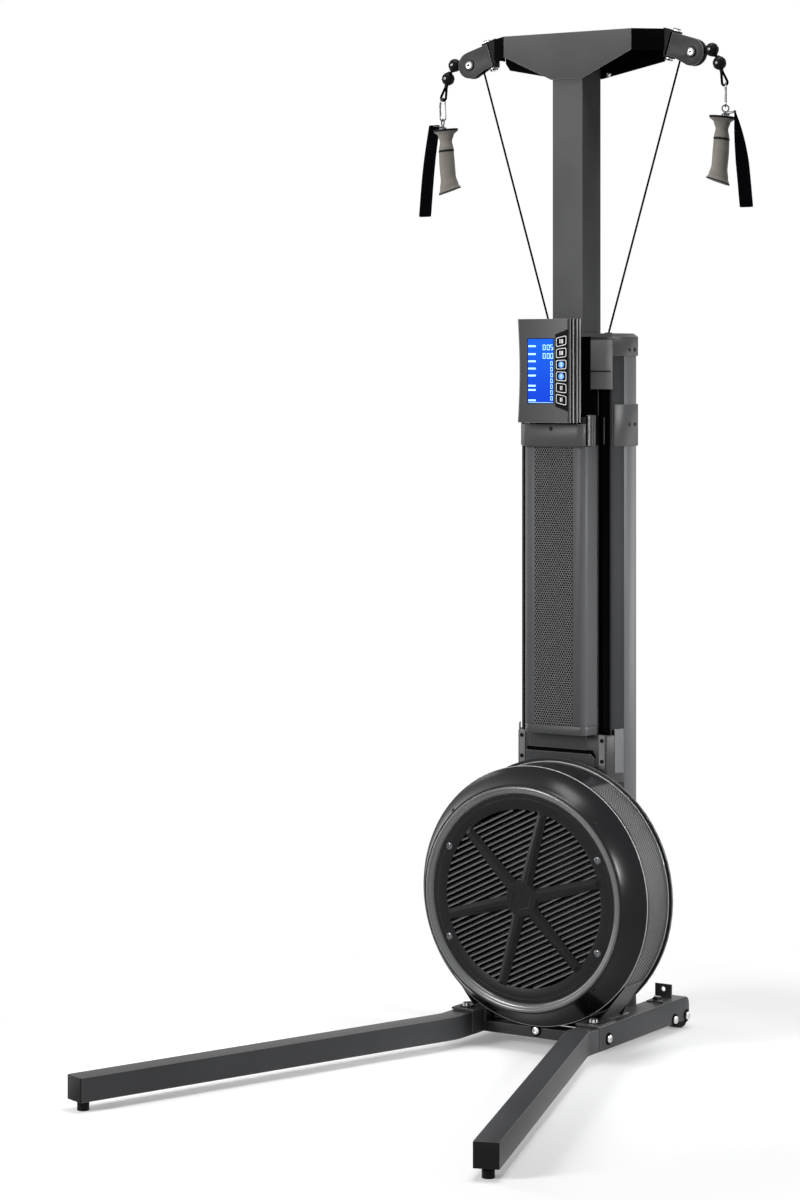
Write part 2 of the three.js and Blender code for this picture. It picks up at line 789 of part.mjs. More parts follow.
// Snap hook, eye, grip and strap of each handle, hanging below the loop
function makeHandles() {
  const hook = wireLink(hookHalfWidth, hookLength / 2, wireRadius)
    .rotateZ(-THREE.MathUtils.degToRad(hookTurnDegrees))
    .translate(hookTop.x, hookTop.y, hookTop.z - hookLength / 2);
  const ring = wireLink(eyeRingRadius, eyeRingRadius, wireRadius)
    .rotateZ(Math.PI / 2 - THREE.MathUtils.degToRad(hookTurnDegrees))
    .translate(hookTop.x, hookTop.y, eyeCentreZ);
  const shankZ = eyeCentreZ - eyeRingRadius;
  const shank = latheZ([
    [0, shankZ - eyeShankLength], [eyeBaseRadius, shankZ - eyeShankLength],
    [eyeBaseRadius, shankZ - eyeShankLength + eyeBaseHeight], [eyeShankRadius, shankZ - eyeShankRadius],
    [eyeShankRadius, shankZ + wireRadius / 2], [0, shankZ + wireRadius / 2],
  ], smallRoundSegments).translate(hookTop.x, hookTop.y, 0);
  const eye = join(ring, shank);

  const topX = hookTop.x - gripOffsetX;
  const slope = THREE.MathUtils.degToRad(gripFootSlopeDegrees);
  const flangeShare = gripFlangeHeight / gripLength;
  const stations = [
    { share: 0, long: gripFlangeLong, short: gripFlangeShort },
    { share: flangeShare, long: gripFlangeLong, short: gripFlangeShort },
    ...gripStationShares.map(([share, longShare, shortShare]) => (
      { share, long: gripWaistRadius * longShare, short: gripWaistRadius * shortShare }
    )),
    { share: 1, long: gripFootRadius, short: gripFootShort },
  ];
  const rings = stations.map(({ share, long, short }) => {
    const lean = -gripFootShift * share * share;
    const centre = new THREE.Vector3(topX + lean, hookTop.y, gripTopZ - gripLength * share);
    return ellipseRing(centre, long, short, -slope * share * share);
  });
  const gripFor = (turn) => loft(rings).translate(-topX, -hookTop.y, 0)
    .rotateZ(turn).translate(topX, hookTop.y, 0);

  const turn = THREE.MathUtils.degToRad(gripTurnDegrees.right);
  const flangeReach = Math.hypot(gripFlangeLong * Math.cos(turn), gripFlangeShort * Math.sin(turn));
  const strapTopX = topX + flangeReach + fitGap - strapTuck + strapTopWidth / 2;
  const strapFor = (lean) => loft([0, strapWideShare, 1].map((share) => {
    const width = THREE.MathUtils.lerp(strapTopWidth, strapWidth, Math.min(1, share / strapWideShare));
    const z = gripTopZ - strapLength * share;
    return [[-1, -1], [1, -1], [1, 1], [-1, 1]].map(([u, v]) => new THREE.Vector3(
      strapTopX + lean * share + u * width / 2, hookTop.y + v * strapThickness / 2, z,
    ));
  }));

  for (const side of sides) {
    place(`snap_hook_${side.name}`, mirrored(hook, side.sign), 'chrome');
    place(`handle_eye_${side.name}`, mirrored(eye, side.sign), 'chrome');
    const grip = gripFor(THREE.MathUtils.degToRad(gripTurnDegrees[side.name]));
    place(`handle_grip_${side.name}`, mirrored(grip, side.sign), 'grip');
    const strap = strapFor(strapLean[side.name]);
    place(`wrist_strap_${side.name}`, mirrored(strap, side.sign), 'webbing');
  }
}

// Plan outline of the tower, grown outwards by an even amount; the grooves are optional
function towerOutline(grow, grooved) {
  const groove = [
    [towerGrooveInner, towerFrontY - grow], [towerGrooveInner, towerFrontY + towerGrooveDepth],
    [towerGrooveOuter, towerFrontY + towerGrooveDepth], [towerGrooveOuter, towerFrontY - grow],
  ];
  return rounded(symmetric([
    ...(grooved ? groove : []),
    [towerFrontHalfWidth + grow / 2, towerFrontY - grow],
    [towerHalfWidth + grow, towerShoulderY - grow / 2],
    [towerHalfWidth + grow, towerBackY + grow],
  ]), symmetricRadii(grooved ? [0, 0, 0, 0, 0, 0, towerBackFillet] : [0, 0, towerBackFillet]));
}

function symmetricRadii(rightHalf) {
  return [...rightHalf, ...rightHalf.slice().reverse()];
}

// Tower: a hollow extrusion that holds the mast above and the shaft of the fan below
function makeTower() {
  const innerX = towerHalfWidth - towerWall;
  const hollow = symmetric([
    [towerGrooveInner - towerWall, towerFrontY + towerWall],
    [towerGrooveInner - towerWall, towerFrontY + towerGrooveDepth + towerWall],
    [towerGrooveOuter + towerWall, towerFrontY + towerGrooveDepth + towerWall],
    [innerX, towerShoulderY + towerWall], [innerX, towerBackY - towerWall],
  ]);
  const window = rodY(shaftWindowRadius, towerFrontY - cutOverrun, towerFrontY + towerWall + cutOverrun)
    .translate(0, 0, fanCentreZ);
  const tower = cut(
    prismZ(towerOutline(0, true), towerFootZ, towerTopZ),
    prismZ(hollow, towerFootZ - cutOverrun, towerTopZ + cutOverrun), window,
  );
  place('tower_body', tower, 'casing');

  const capBody = prismZ(towerOutline(capSheet + fitGap, false), capSkirtZ, capTopZ - capEdgeDrop);
  const capLid = loft([
    outlineRing(towerOutline(capSheet + fitGap, false), capTopZ - capEdgeDrop - fitGap),
    outlineRing(towerOutline(capSheet + fitGap - capEdgeDrop, false), capTopZ),
  ]);
  const capHollow = prismZ(towerOutline(fitGap, false), capSkirtZ - cutOverrun, towerTopZ + fitGap);
  const frontNotch = box(
    -towerFrontHalfWidth - capSheet, towerFrontHalfWidth + capSheet,
    towerFrontY - cutOverrun - capSheet, towerFrontY + fitGap, capSkirtZ - cutOverrun, capFrontSkirtZ,
  );
  const [socketX, socketY] = [mastWidth / 2 + fitGap, mastDepth / 2 + fitGap];
  const socket = box(-socketX, socketX, -socketY, socketY, capSkirtZ, capTopZ + cutOverrun);
  const cordHoles = sides.map(({ sign }) => rodZ(
    eyeletRadius, capSkirtZ, capTopZ + cutOverrun, smallRoundSegments,
  ).translate(sign * eyeletX, pulleyPlaneY, 0));
  const cap = cut(join(capBody, capLid), capHollow, frontNotch, socket, ...cordHoles);
  place('tower_cap', cap, 'plastic');

  const rearCollar = cut(
    prismZ(towerOutline(capSheet + fitGap, false), rearCollarFootZ, rearCollarTopZ),
    prismZ(towerOutline(fitGap, false), rearCollarFootZ - cutOverrun, rearCollarTopZ + cutOverrun),
    box(
      -towerHalfWidth * 2, towerHalfWidth * 2, towerFrontY - towerHalfWidth, rearCollarFrontY,
      rearCollarFootZ - cutOverrun, rearCollarTopZ + cutOverrun,
    ),
  );
  place('rear_collar', rearCollar, 'plastic');
}

function outlineRing(points, z) {
  return points.map(([x, y]) => new THREE.Vector3(x, y, z));
}

// Front plate of the tower head with the two arms and the pin that carry the console
function makeFrontPlate() {
  const plateY = towerFrontY - fitGap;
  const topZ = capFrontSkirtZ - fitGap;
  const plate = box(
    -frontPlateHalfWidth, frontPlateHalfWidth,
    plateY - frontPlateSheet, plateY, frontPlateFootZ, topZ,
  );
  const innerX = pivotKnuckleHalfWidth + fitGap;
  const outerX = innerX + pivotArmThickness;
  const arm = (sign) => join(
    box(
      sign * innerX, sign * outerX, pivotY, plateY - frontPlateSheet + fitGap,
      pivotZ - pivotLugRadius, pivotZ + pivotLugRadius,
    ),
    rodX(pivotLugRadius, Math.min(sign * innerX, sign * outerX), Math.max(sign * innerX, sign * outerX))
      .translate(0, pivotY, pivotZ),
  );
  const pin = rodX(pivotPinRadius, -outerX, outerX).translate(0, pivotY, pivotZ);
  place('tower_front_plate', join(plate, arm(-1), arm(1), pin), 'paint');
}

// Plan outline of the front casing: open towards the tower, with rounded front corners
function casingOutline(grow, frontY) {
  const backY = towerFrontY - fitGap;
  const half = casingHalfWidth + grow;
  return rounded(
    [[-half, backY], [-half, frontY], [half, frontY], [half, backY]],
    [0, casingFillet + grow, casingFillet + grow, 0],
  );
}

function makeCasing() {
  const backY = towerFrontY - fitGap;
  const inner = casingHalfWidth - casingWall;
  const hollow = [
    [-inner, backY + cutOverrun], [-inner, casingFrontY + casingWall + casingFillet],
    [-(inner - casingFillet), casingFrontY + casingWall], [inner - casingFillet, casingFrontY + casingWall],
    [inner, casingFrontY + casingWall + casingFillet], [inner, backY + cutOverrun],
  ];
  const [footZ, topZ] = [casingFootZ + fitGap, casingTopZ - fitGap];
  const recess = box(
    -(grilleHalfWidth + fitGap), grilleHalfWidth + fitGap,
    casingFrontY - cutOverrun, casingFrontY + grilleSheet + fitGap, footZ - cutOverrun, topZ + cutOverrun,
  );
  const casing = cut(
    prismZ(casingOutline(0, casingFrontY), footZ, topZ),
    prismZ(hollow, footZ - cutOverrun, topZ + cutOverrun), recess,
  );
  place('front_casing', casing, 'casing');
  place('grille_strip', box(
    -grilleHalfWidth, grilleHalfWidth, casingFrontY, casingFrontY + grilleSheet, footZ, topZ,
  ), 'plastic');

  const footCap = prismZ(casingOutline(0, casingFrontY), casingFootZ - footCapHeight, casingFootZ);
  place('casing_foot_cap', footCap, 'plastic');

  const collarBody = prismZ(casingOutline(collarSideReach, collarFrontY), casingTopZ, collarTopZ);
  const collarHollow = prismZ(hollow, casingTopZ + collarFloor, collarTopZ + cutOverrun);
  const shelf = box(
    -consoleHalfWidth * 2, consoleHalfWidth * 2, collarFrontY - cutOverrun, collarShelfY,
    collarShelfZ, collarTopZ + cutOverrun,
  );
  place('casing_collar', cut(collarBody, collarHollow, shelf), 'plastic');

  const bungee = rodZ(bungeeRadius, casingFootZ + fitGap, casingTopZ - fitGap, smallRoundSegments)
    .translate(0, bungeeY, 0);
  place('recoil_bungee', bungee, 'rubber');

  const neckFootZ = neckTopZ - neckHeight;
  const neckPlan = rounded(symmetric([
    [neckHalfWidth, neckFrontY], [towerHalfWidth + neckWing, neckWingY],
  ]), symmetricRadii([neckFillet, 0]));
  const neck = cut(
    prismZ(neckPlan, neckFootZ, neckTopZ),
    prismZ(towerOutline(fitGap, false), neckFootZ - cutOverrun, neckTopZ + cutOverrun),
  );
  place('neck_box', neck, 'plastic');
}

// Console: a tilting housing with a screen and six keys
function makeConsole() {
  const face = rounded([
    [-consoleHalfWidth, consoleFootZ], [consoleHalfWidth, consoleFootZ],
    [consoleHalfWidth, consoleTopZ], [-consoleHalfWidth, consoleTopZ],
  ], consoleFillet);
  const grooveY = consoleFrontY + consoleBandDepth;
  const inset = consoleGrooveDepth;
  const core = rounded([
    [inset - consoleHalfWidth, consoleFootZ + inset], [consoleHalfWidth - inset, consoleFootZ + inset],
    [consoleHalfWidth - inset, consoleTopZ - inset], [inset - consoleHalfWidth, consoleTopZ - inset],
  ], consoleFillet);
  const knuckle = join(
    box(
      -pivotKnuckleHalfWidth, pivotKnuckleHalfWidth, consoleBackY - fitGap, pivotY,
      pivotZ - pivotLugRadius, pivotZ + pivotLugRadius,
    ),
    rodX(pivotLugRadius, -pivotKnuckleHalfWidth, pivotKnuckleHalfWidth).translate(0, pivotY, pivotZ),
  );
  const pinBore = rodX(
    pivotPinRadius + fitGap, -(pivotKnuckleHalfWidth + cutOverrun), pivotKnuckleHalfWidth + cutOverrun,
  ).translate(0, pivotY, pivotZ);
  const screenPocket = box(
    screenLeftX - fitGap, screenRightX + fitGap, consoleFrontY - cutOverrun,
    consoleFrontY + screenSetBack + screenThickness + fitGap, screenFootZ - fitGap, screenTopZ + fitGap,
  );
  const keyPlan = (grow) => rounded([
    [-keyWidth / 2 - grow, -keyHeight / 2 - grow], [keyWidth / 2 + grow, -keyHeight / 2 - grow],
    [keyWidth / 2 + grow, keyHeight / 2 + grow], [-keyWidth / 2 - grow, keyHeight / 2 + grow],
  ], keyFillet);
  const pocketDepth = keyThickness - keyProud + keyTravel + fitGap;
  const keyZ = (index) => keyMiddleZ + keyPitch * (index - (keyCount - 1) / 2);
  const pockets = Array.from({ length: keyCount }, (_, i) => prismY(
    keyPlan(fitGap), consoleFrontY - cutOverrun, consoleFrontY + pocketDepth,
  ).translate(keyMiddleX, 0, keyZ(i)));
  const body = join(
    prismY(face, consoleFrontY, grooveY), prismY(core, grooveY - fitGap, grooveY + consoleGrooveWidth + fitGap),
    prismY(face, grooveY + consoleGrooveWidth, consoleBackY), knuckle,
  );
  place('console_housing', cut(body, pinBore, screenPocket, ...pockets), 'plastic');
  place('console_screen', box(
    screenLeftX, screenRightX, consoleFrontY + screenSetBack,
    consoleFrontY + screenSetBack + screenThickness, screenFootZ, screenTopZ,
  ), 'screen');
  for (let i = 0; i < keyCount; i += 1) {
    const key = prismY(keyPlan(0), consoleFrontY - keyProud, consoleFrontY - keyProud + keyThickness);
    const mesh = place(`console_key_${i + 1}`, key, 'gloss');
    mesh.position.set(keyMiddleX, 0, keyZ(i));
  }
}

// Fan drum: front shroud, louvred panel, perforated band and the back plate with its cradle
function makeFan() {
  const drum = new THREE.Group();
  drum.position.z = fanCentreZ;
  machine.add(drum);
  const panelEdge = panelRadius + fitGap;
  const panelBackY = panelFrontY + panelThickness;
  const shroud = latheY([
    [panelEdge, panelBackY], [panelEdge, panelFrontY], [beadRadius - beadHalfWidth, beadFrontY],
    [beadRadius + beadHalfWidth / 2, beadFrontY], [bevelFrontRadius, beadFrontY + beadHalfWidth],
    [shroudRimRadius, shroudRimY], [shroudRimRadius, shroudRimY + shroudLip],
    [shroudRimRadius - shroudSheet, shroudRimY + shroudLip], [shroudRimRadius - shroudSheet, shroudRimY],
    [bevelFrontRadius - shroudSheet, beadFrontY + beadHalfWidth + shroudSheet],
    [panelEdge + shroudSheet, panelBackY], [panelEdge, panelBackY],
  ], drumSegments);
  place('fan_shroud', shroud, 'gloss', drum);

  const louvreSlope = THREE.MathUtils.degToRad(louvreSlopeDegrees);
  const slotCount = Math.floor((2 * louvreRadius) / louvrePitch);
  const slots = Array.from({ length: slotCount }, (_, i) => {
    const offset = louvrePitch * (i - (slotCount - 1) / 2);
    const half = Math.sqrt(Math.max(louvreRadius ** 2 - (Math.abs(offset) + louvreSlot / 2) ** 2, 0));
    return half > louvreSlot ? box(
      -half, half, panelFrontY - cutOverrun, panelBackY + cutOverrun,
      offset - louvreSlot / 2, offset + louvreSlot / 2,
    ).rotateY(-louvreSlope) : null;
  }).filter(Boolean);
  const struts = Array.from({ length: strutCount }, (_, i) => {
    const crest = strutHalfWidth * strutCrestShare;
    const section = [
      [-strutHalfWidth, panelBackY], [-strutHalfWidth, panelFrontY], [-crest, panelFrontY - strutHeight],
      [crest, panelFrontY - strutHeight], [strutHalfWidth, panelFrontY], [strutHalfWidth, panelBackY],
    ];
    return prismZ(section, 0, louvreRadius + strutHalfWidth / 2)
      .rotateY((fullTurn * (i + strutTurnShare)) / strutCount);
  });
  const hub = latheY([
    [0, panelBackY], [strutHubRadius, panelBackY], [strutHubRadius, panelFrontY],
    [strutHubRadius - strutHeight, panelFrontY - strutHeight], [0, panelFrontY - strutHeight],
  ], strutCount).rotateY((fullTurn * strutHubTurnShare) / strutCount);
  const disc = rodY(panelRadius, panelFrontY, panelBackY, drumSegments);
  place('louvre_panel', join(cut(disc, ...slots), ...struts, hub), 'plastic', drum);

  const bandFrontY = shroudRimY + shroudLip + fitGap;
  const bandBackY = fanBackY - fitGap;
  const band = latheY([
    [bandRadius - bandSheet, bandFrontY], [bandRadius, bandFrontY], [bandRadius, bandBackY],
    [bandRadius - bandSheet, bandBackY], [bandRadius - bandSheet, bandFrontY],
  ], drumSegments);
  place('mesh_band', band, 'plastic', drum);
  makeBackPlate(drum);

  const hubBore = shaftRadius + fitGap;
  const hubFrontY = rotorDiscY - rotorHubLength;
  const rotorHub = latheY([
    [hubBore, hubFrontY], [rotorHubRadius, hubFrontY], [rotorHubRadius, rotorDiscY],
    [rotorRadius, rotorDiscY], [rotorRadius, rotorDiscY + rotorDiscThickness],
    [hubBore, rotorDiscY + rotorDiscThickness], [hubBore, hubFrontY],
  ], wheelSegments);
  const blades = Array.from({ length: rotorBladeCount }, (_, i) => box(
    rotorBladeInner, rotorRadius - rotorBladeSheet, rotorDiscY - rotorBladeDepth, rotorDiscY + fitGap,
    -rotorBladeSheet / 2, rotorBladeSheet / 2,
  ).rotateY((fullTurn * i) / rotorBladeCount));
  place('fan_rotor', join(rotorHub, ...blades), 'plastic', drum);
  place('fan_shaft', rodY(shaftRadius, shaftFrontY, towerBackY - towerWall - fitGap), 'steel', drum);

  const cartridge = latheY([
    [hubBore, fanBackY + fitGap], [cartridgeRadius, fanBackY + fitGap],
    [cartridgeRadius, towerFrontY - fitGap], [hubBore, towerFrontY - fitGap], [hubBore, fanBackY + fitGap],
  ]);
  place('bearing_cartridge', cartridge, 'steel', drum);
  for (const side of sides) {
    const middleY = side.sign > 0 ? rightDrumY : leftDrumY;
    const [y0, y1] = [middleY - drumWidth / 2, middleY + drumWidth / 2];
    const spool = latheY([
      [hubBore, y0], [drumFlangeRadius, y0], [drumFlangeRadius, y0 + drumFlangeSheet],
      [drumCoreRadius, y0 + drumFlangeSheet], [drumCoreRadius, y1 - drumFlangeSheet],
      [drumFlangeRadius, y1 - drumFlangeSheet], [drumFlangeRadius, y1], [hubBore, y1], [hubBore, y0],
    ], drumSegments / 4);
    place(`cord_drum_${side.name}`, spool, 'plastic', drum);
  }
}

// Back plate of the drum, its bearing boss, and the cradle sheets that stand on the base bars
function makeBackPlate(drum) {
  const sheetRadius = bandRadius + fitGap;
  const startAngle = THREE.MathUtils.degToRad(cradleStartDegrees);
  const [cosine, sine] = [Math.cos(startAngle), Math.sin(startAngle)];
  const tangent = new THREE.Vector2(sine, -cosine);
  const start = new THREE.Vector2(sheetRadius * cosine, sheetRadius * sine);
  const flangeZ = barTopZ + fitGap - fanCentreZ;
  const run = (start.y - flangeZ) / -tangent.y;
  const foot = start.clone().addScaledVector(tangent, run);
  const [sheetX, sheetZ] = [cradleSheet * cosine, cradleSheet * sine];
  const sheet = prismY([
    [start.x, start.y], [start.x + sheetX, start.y + sheetZ], [foot.x + cradleSheet / cosine, flangeZ],
    [foot.x, flangeZ],
  ], cradleFrontY, fanBackRearY);
  const sheetTrim = box(
    foot.x - cradleFlangeWidth, foot.x + cradleFlangeWidth, cradleFrontY - cutOverrun, cradleFlangeFrontY,
    flangeZ - cutOverrun, flangeZ + cornerPlateSheet + fitGap,
  );
  const flange = box(
    foot.x - cradleFlangeWidth / 2, foot.x + cradleFlangeWidth / 2,
    cradleFlangeFrontY, fanBackRearY, flangeZ, flangeZ + cradleSheet,
  );
  const gusset = prismY([
    [start.x, start.y + cradleFlangeWidth], [start.x + sheetX, start.y + sheetZ],
    [foot.x + cradleFlangeWidth, flangeZ + cradleFlangeWidth], [foot.x + cradleFlangeWidth / 2, flangeZ],
    [barInnerX, flangeZ], [start.x / 2, start.y - cradleFlangeWidth],
  ], fanBackY, fanBackRearY);
  const right = join(cut(sheet, sheetTrim), flange, gusset);
  const bore = cartridgeRadius + fitGap;
  const plate = latheY([
    [bore, fanBackY], [backPlateRadius, fanBackY], [backPlateRadius, fanBackRearY], [bossRadius, fanBackRearY],
    [bossRadius, towerFrontY - fitGap], [bore, towerFrontY - fitGap], [bore, fanBackY],
  ], drumSegments);
  place('fan_back_plate', join(plate, right, mirrored(right, -1)), 'paint', drum);
}

// Base: two side bars, a front cross member with corner plates, and transport wheels
function makeBase() {
  const profile = rounded([
    [barFrontY, barFootZ], [barRearY, barFootZ], [barRearY, barTopZ], [barFrontY, barTopZ],
  ], [0, 0, barRearFillet, 0]);
  const wallX = barOuterX - barWall;
  const bore = box(
    barInnerX + barWall, wallX, barFrontY - cutOverrun, barRearY - barRearFillet,
    barFootZ + barWall, barTopZ - barWall,
  );
  const slotHalf = wheelWidth / 2 + wheelSlotMargin / 2;
  const slot = box(
    barCentreX - slotHalf, barCentreX + slotHalf, wheelY - wheelRadius - wheelSlotMargin,
    barRearY + cutOverrun, barFootZ - cutOverrun, wheelZ + wheelRadius + wheelSlotMargin,
  );
  const axleHole = rodX(axleRadius + fitGap, barInnerX - cutOverrun, barOuterX + cutOverrun)
    .translate(0, wheelY, wheelZ);
  const lug = box(
    towerHalfWidth + fitGap, barInnerX + barWall / 2,
    towerLugY - towerLugWidth / 2, towerLugY + towerLugWidth / 2, barFootZ + barWall, barTopZ - barWall,
  );
  const tabFoot = box(
    barCentreX - tabWidth / 2, barCentreX + tabWidth / 2, tabFrontY + tabSheet - tabFootLength,
    tabFrontY + tabSheet, barTopZ - fitGap, barTopZ + tabSheet,
  );
  const tabPlate = box(
    barCentreX - tabWidth / 2, barCentreX + tabWidth / 2, tabFrontY, tabFrontY + tabSheet,
    barTopZ, barTopZ + tabHeight,
  );
  const tabHole = rodY(tabHoleRadius, tabFrontY - cutOverrun, tabFrontY + cutOverrun + tabSheet)
    .translate(barCentreX, 0, barTopZ + tabHoleHeight);
  const tabBolt = boltHead(barTopZ + tabSheet).translate(barCentreX, tabBoltY, 0);
  const bar = join(
    cut(prismX(profile, barInnerX, barOuterX), bore, slot, axleHole), lug, tabFoot, cut(tabPlate, tabHole), tabBolt,
  );

  const crossX = barInnerX - fitGap;
  const plateTopZ = barTopZ + fitGap + cornerPlateSheet;
  const tubeBody = box(-crossX, crossX, crossFrontY, crossFrontY + crossDepth, barFootZ, barFootZ + crossHeight);
  const corner = (sign) => join(
    box(
      sign * (crossX - cornerPlateSheet), sign * crossX, crossFrontY, crossFrontY + crossDepth,
      barFootZ, plateTopZ,
    ),
    box(
      sign * (crossX - cornerPlateSheet), sign * barOuterX, barFrontY - cornerPlateOverlap, cornerPlateRearY,
      barTopZ + fitGap, plateTopZ,
    ),
    boltHead(plateTopZ).translate(sign * barCentreX, barFrontY + cornerBoltInset, 0),
  );
  place('front_cross_member', join(tubeBody, corner(-1), corner(1)), 'paint');

  const wheelHalf = wheelWidth / 2;
  const wheelBore = axleRadius + fitGap;
  const wheel = latheY([
    [wheelBore, -wheelHalf], [wheelRadius - wheelFillet, -wheelHalf], [wheelRadius, wheelFillet - wheelHalf],
    [wheelRadius, wheelHalf - wheelFillet], [wheelRadius - wheelFillet, wheelHalf], [wheelBore, wheelHalf],
    [wheelBore, -wheelHalf],
  ]).rotateZ(-Math.PI / 2);
  const headX = barOuterX + fitGap;
  const axle = join(
    rodX(axleRadius, -headX - axleHeadHeight, headX + axleHeadHeight),
    rodX(axleHeadRadius, headX, headX + axleHeadHeight),
    rodX(axleHeadRadius, -headX - axleHeadHeight, -headX),
  );
  place('wheel_axle', axle, 'steel').position.set(0, wheelY, wheelZ);
  for (const side of sides) {
    place(`base_bar_${side.name}`, mirrored(bar, side.sign), 'paint');
    const roller = place(`transport_wheel_${side.name}`, mirrored(wheel, side.sign), 'rubber');
    roller.position.set(side.sign * barCentreX, wheelY, wheelZ);
  }
}

function boltHead(z) {
  return latheZ([
    [0, z - fitGap], [washerRadius, z - fitGap], [washerRadius, z + washerHeight],
    [boltHeadRadius, z + washerHeight], [boltHeadRadius, z + washerHeight + boltHeadHeight],
    [0, z + washerHeight + boltHeadHeight],
  ], smallRoundSegments);
}

const legDirection = new THREE.Vector2(Math.sin(legSplay), -Math.cos(legSplay));
const legEnd = new THREE.Vector2(
  barCentreX + (legBendY - legEndY) * Math.tan(legSplay), legEndY,
);

// Plan outline of a bent leg with the given half width, from the bar's front to its own end
function legOutline(half, startY, beyond) {
  const end = legEnd.clone().addScaledVector(legDirection, beyond);
  const normal = new THREE.Vector2(-legDirection.y, legDirection.x);
  const corner = half * Math.tan(legSplay / 2);
  return rounded([
    [barCentreX - half, startY], [barCentreX - half, legBendY - corner],
    [end.x - normal.x * half, end.y - normal.y * half], [end.x + normal.x * half, end.y + normal.y * half],
    [barCentreX + half, legBendY + corner], [barCentreX + half, startY],
  ], [0, legBendRadius + half, 0, 0, legBendRadius - half, 0]);
}

// Legs: bent square tubes with a sleeve into the bars, an end cap and a levelling foot
function makeLegs() {
  const [legFootZ, legTopZ] = [barFootZ, barFootZ + legSize];
  const startY = barFrontY - fitGap;
  const middleZ = (legFootZ + legTopZ) / 2;
  const sleeveZ = barFootZ + barSize / 2;
  const boreHalf = legSize / 2 - legWall;
  const shell = cut(
    prismZ(legOutline(legSize / 2, startY, 0), legFootZ, legTopZ),
    prismZ(legOutline(boreHalf, startY + cutOverrun, cutOverrun), legFootZ + legWall, legTopZ - legWall),
  );
  const sleeveHalf = sleeveSize / 2;
  const sleeve = box(
    barCentreX - sleeveHalf, barCentreX + sleeveHalf, startY - sleeveInset, startY + sleeveLength,
    sleeveZ - sleeveHalf, sleeveZ + sleeveHalf,
  );
  const sleeveBore = box(
    barCentreX - sleeveHalf + legWall, barCentreX + sleeveHalf - legWall,
    startY - sleeveInset - cutOverrun, startY + sleeveLength + cutOverrun,
    sleeveZ - sleeveHalf + legWall, sleeveZ + sleeveHalf - legWall,
  );
  const footX = legEnd.x - legDirection.x * footInset;
  const footY = legEnd.y - legDirection.y * footInset;
  const studHole = rodZ(footStudRadius + fitGap, legFootZ - cutOverrun, legFootZ + legWall + cutOverrun)
    .translate(footX, footY, 0);
  const leg = cut(join(shell, sleeve), sleeveBore, studHole);

  const plugHalf = boreHalf - fitGap;
  const capPlate = box(-legSize / 2, legSize / 2, -endCapSheet - fitGap, -fitGap, -legSize / 2, legSize / 2);
  const capPlug = box(-plugHalf, plugHalf, -endCapSheet, endCapPlug, -plugHalf, plugHalf);
  const endCap = join(capPlate, cut(capPlug, box(
    endCapSheet - plugHalf, plugHalf - endCapSheet, fitGap, endCapPlug + cutOverrun,
    endCapSheet - plugHalf, plugHalf - endCapSheet,
  ))).rotateZ(legSplay).translate(legEnd.x, legEnd.y, middleZ);

  const foot = latheZ([
    [0, 0], [footRadius, 0], [footRadius, footHeight], [footStudRadius, footHeight],
    [footStudRadius, footHeight + footStudLength], [0, footHeight + footStudLength],
  ]);
  for (const side of sides) {
    place(`leg_${side.name}`, mirrored(leg, side.sign), 'paint');
    place(`leg_end_cap_${side.name}`, mirrored(endCap, side.sign), 'plastic');
    const mesh = place(`levelling_foot_${side.name}`, foot, 'rubber');
    mesh.position.set(side.sign * footX, footY, 0);
  }
}

makeMast();
makeCrossbar();
makePulleys();
makeCords();
makeHandles();
makeTower();
makeFrontPlate();
makeCasing();
makeConsole();
makeFan();
makeBase();
makeLegs();

// The origin stands on the floor below the middle of the machine's outline
const frontReach = legEnd.y + (legDirection.y * (endCapSheet + fitGap)) - Math.sin(legSplay) * (legSize / 2);
const rearReach = wheelY + wheelRadius;
machine.position.y = -(frontReach + rearReach) / 2;

const group = new THREE.Group();
group.add(machine);
group.updateMatrixWorld(true);

export default group;
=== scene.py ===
import json
from math import acos, atan2, cos, hypot, pi, radians, sin, sqrt, tan

import bmesh
import bpy
from mathutils import Matrix, Vector

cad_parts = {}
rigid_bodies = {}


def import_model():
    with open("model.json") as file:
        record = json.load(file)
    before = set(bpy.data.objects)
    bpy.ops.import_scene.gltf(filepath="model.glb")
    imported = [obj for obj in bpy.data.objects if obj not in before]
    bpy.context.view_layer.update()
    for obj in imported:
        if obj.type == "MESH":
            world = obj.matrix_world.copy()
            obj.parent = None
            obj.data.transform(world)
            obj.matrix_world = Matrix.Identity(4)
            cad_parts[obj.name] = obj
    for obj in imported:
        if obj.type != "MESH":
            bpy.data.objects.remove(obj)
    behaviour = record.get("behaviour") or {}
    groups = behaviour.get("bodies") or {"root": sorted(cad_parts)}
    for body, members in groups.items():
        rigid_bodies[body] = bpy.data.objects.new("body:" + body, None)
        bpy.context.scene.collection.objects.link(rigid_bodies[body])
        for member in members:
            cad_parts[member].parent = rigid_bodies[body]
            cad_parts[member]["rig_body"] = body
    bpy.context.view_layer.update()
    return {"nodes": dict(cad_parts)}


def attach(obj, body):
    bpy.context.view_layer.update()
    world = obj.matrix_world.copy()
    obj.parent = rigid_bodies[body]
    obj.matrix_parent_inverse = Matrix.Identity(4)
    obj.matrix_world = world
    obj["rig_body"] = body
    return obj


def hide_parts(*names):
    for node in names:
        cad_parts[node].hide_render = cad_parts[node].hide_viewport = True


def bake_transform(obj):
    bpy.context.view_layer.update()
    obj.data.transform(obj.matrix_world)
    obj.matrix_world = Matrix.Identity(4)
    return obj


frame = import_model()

# Sizes are drawn in millimetres with the mast's middle at the origin, as in the part's source;
# the row frame lies this far behind it
mm = 0.001
row_y = 475.599
fit_gap = 0.3
sides = {"left": -1, "right": 1}


def at(point):
    return Vector((point[0], point[1] + row_y, point[2])) * mm


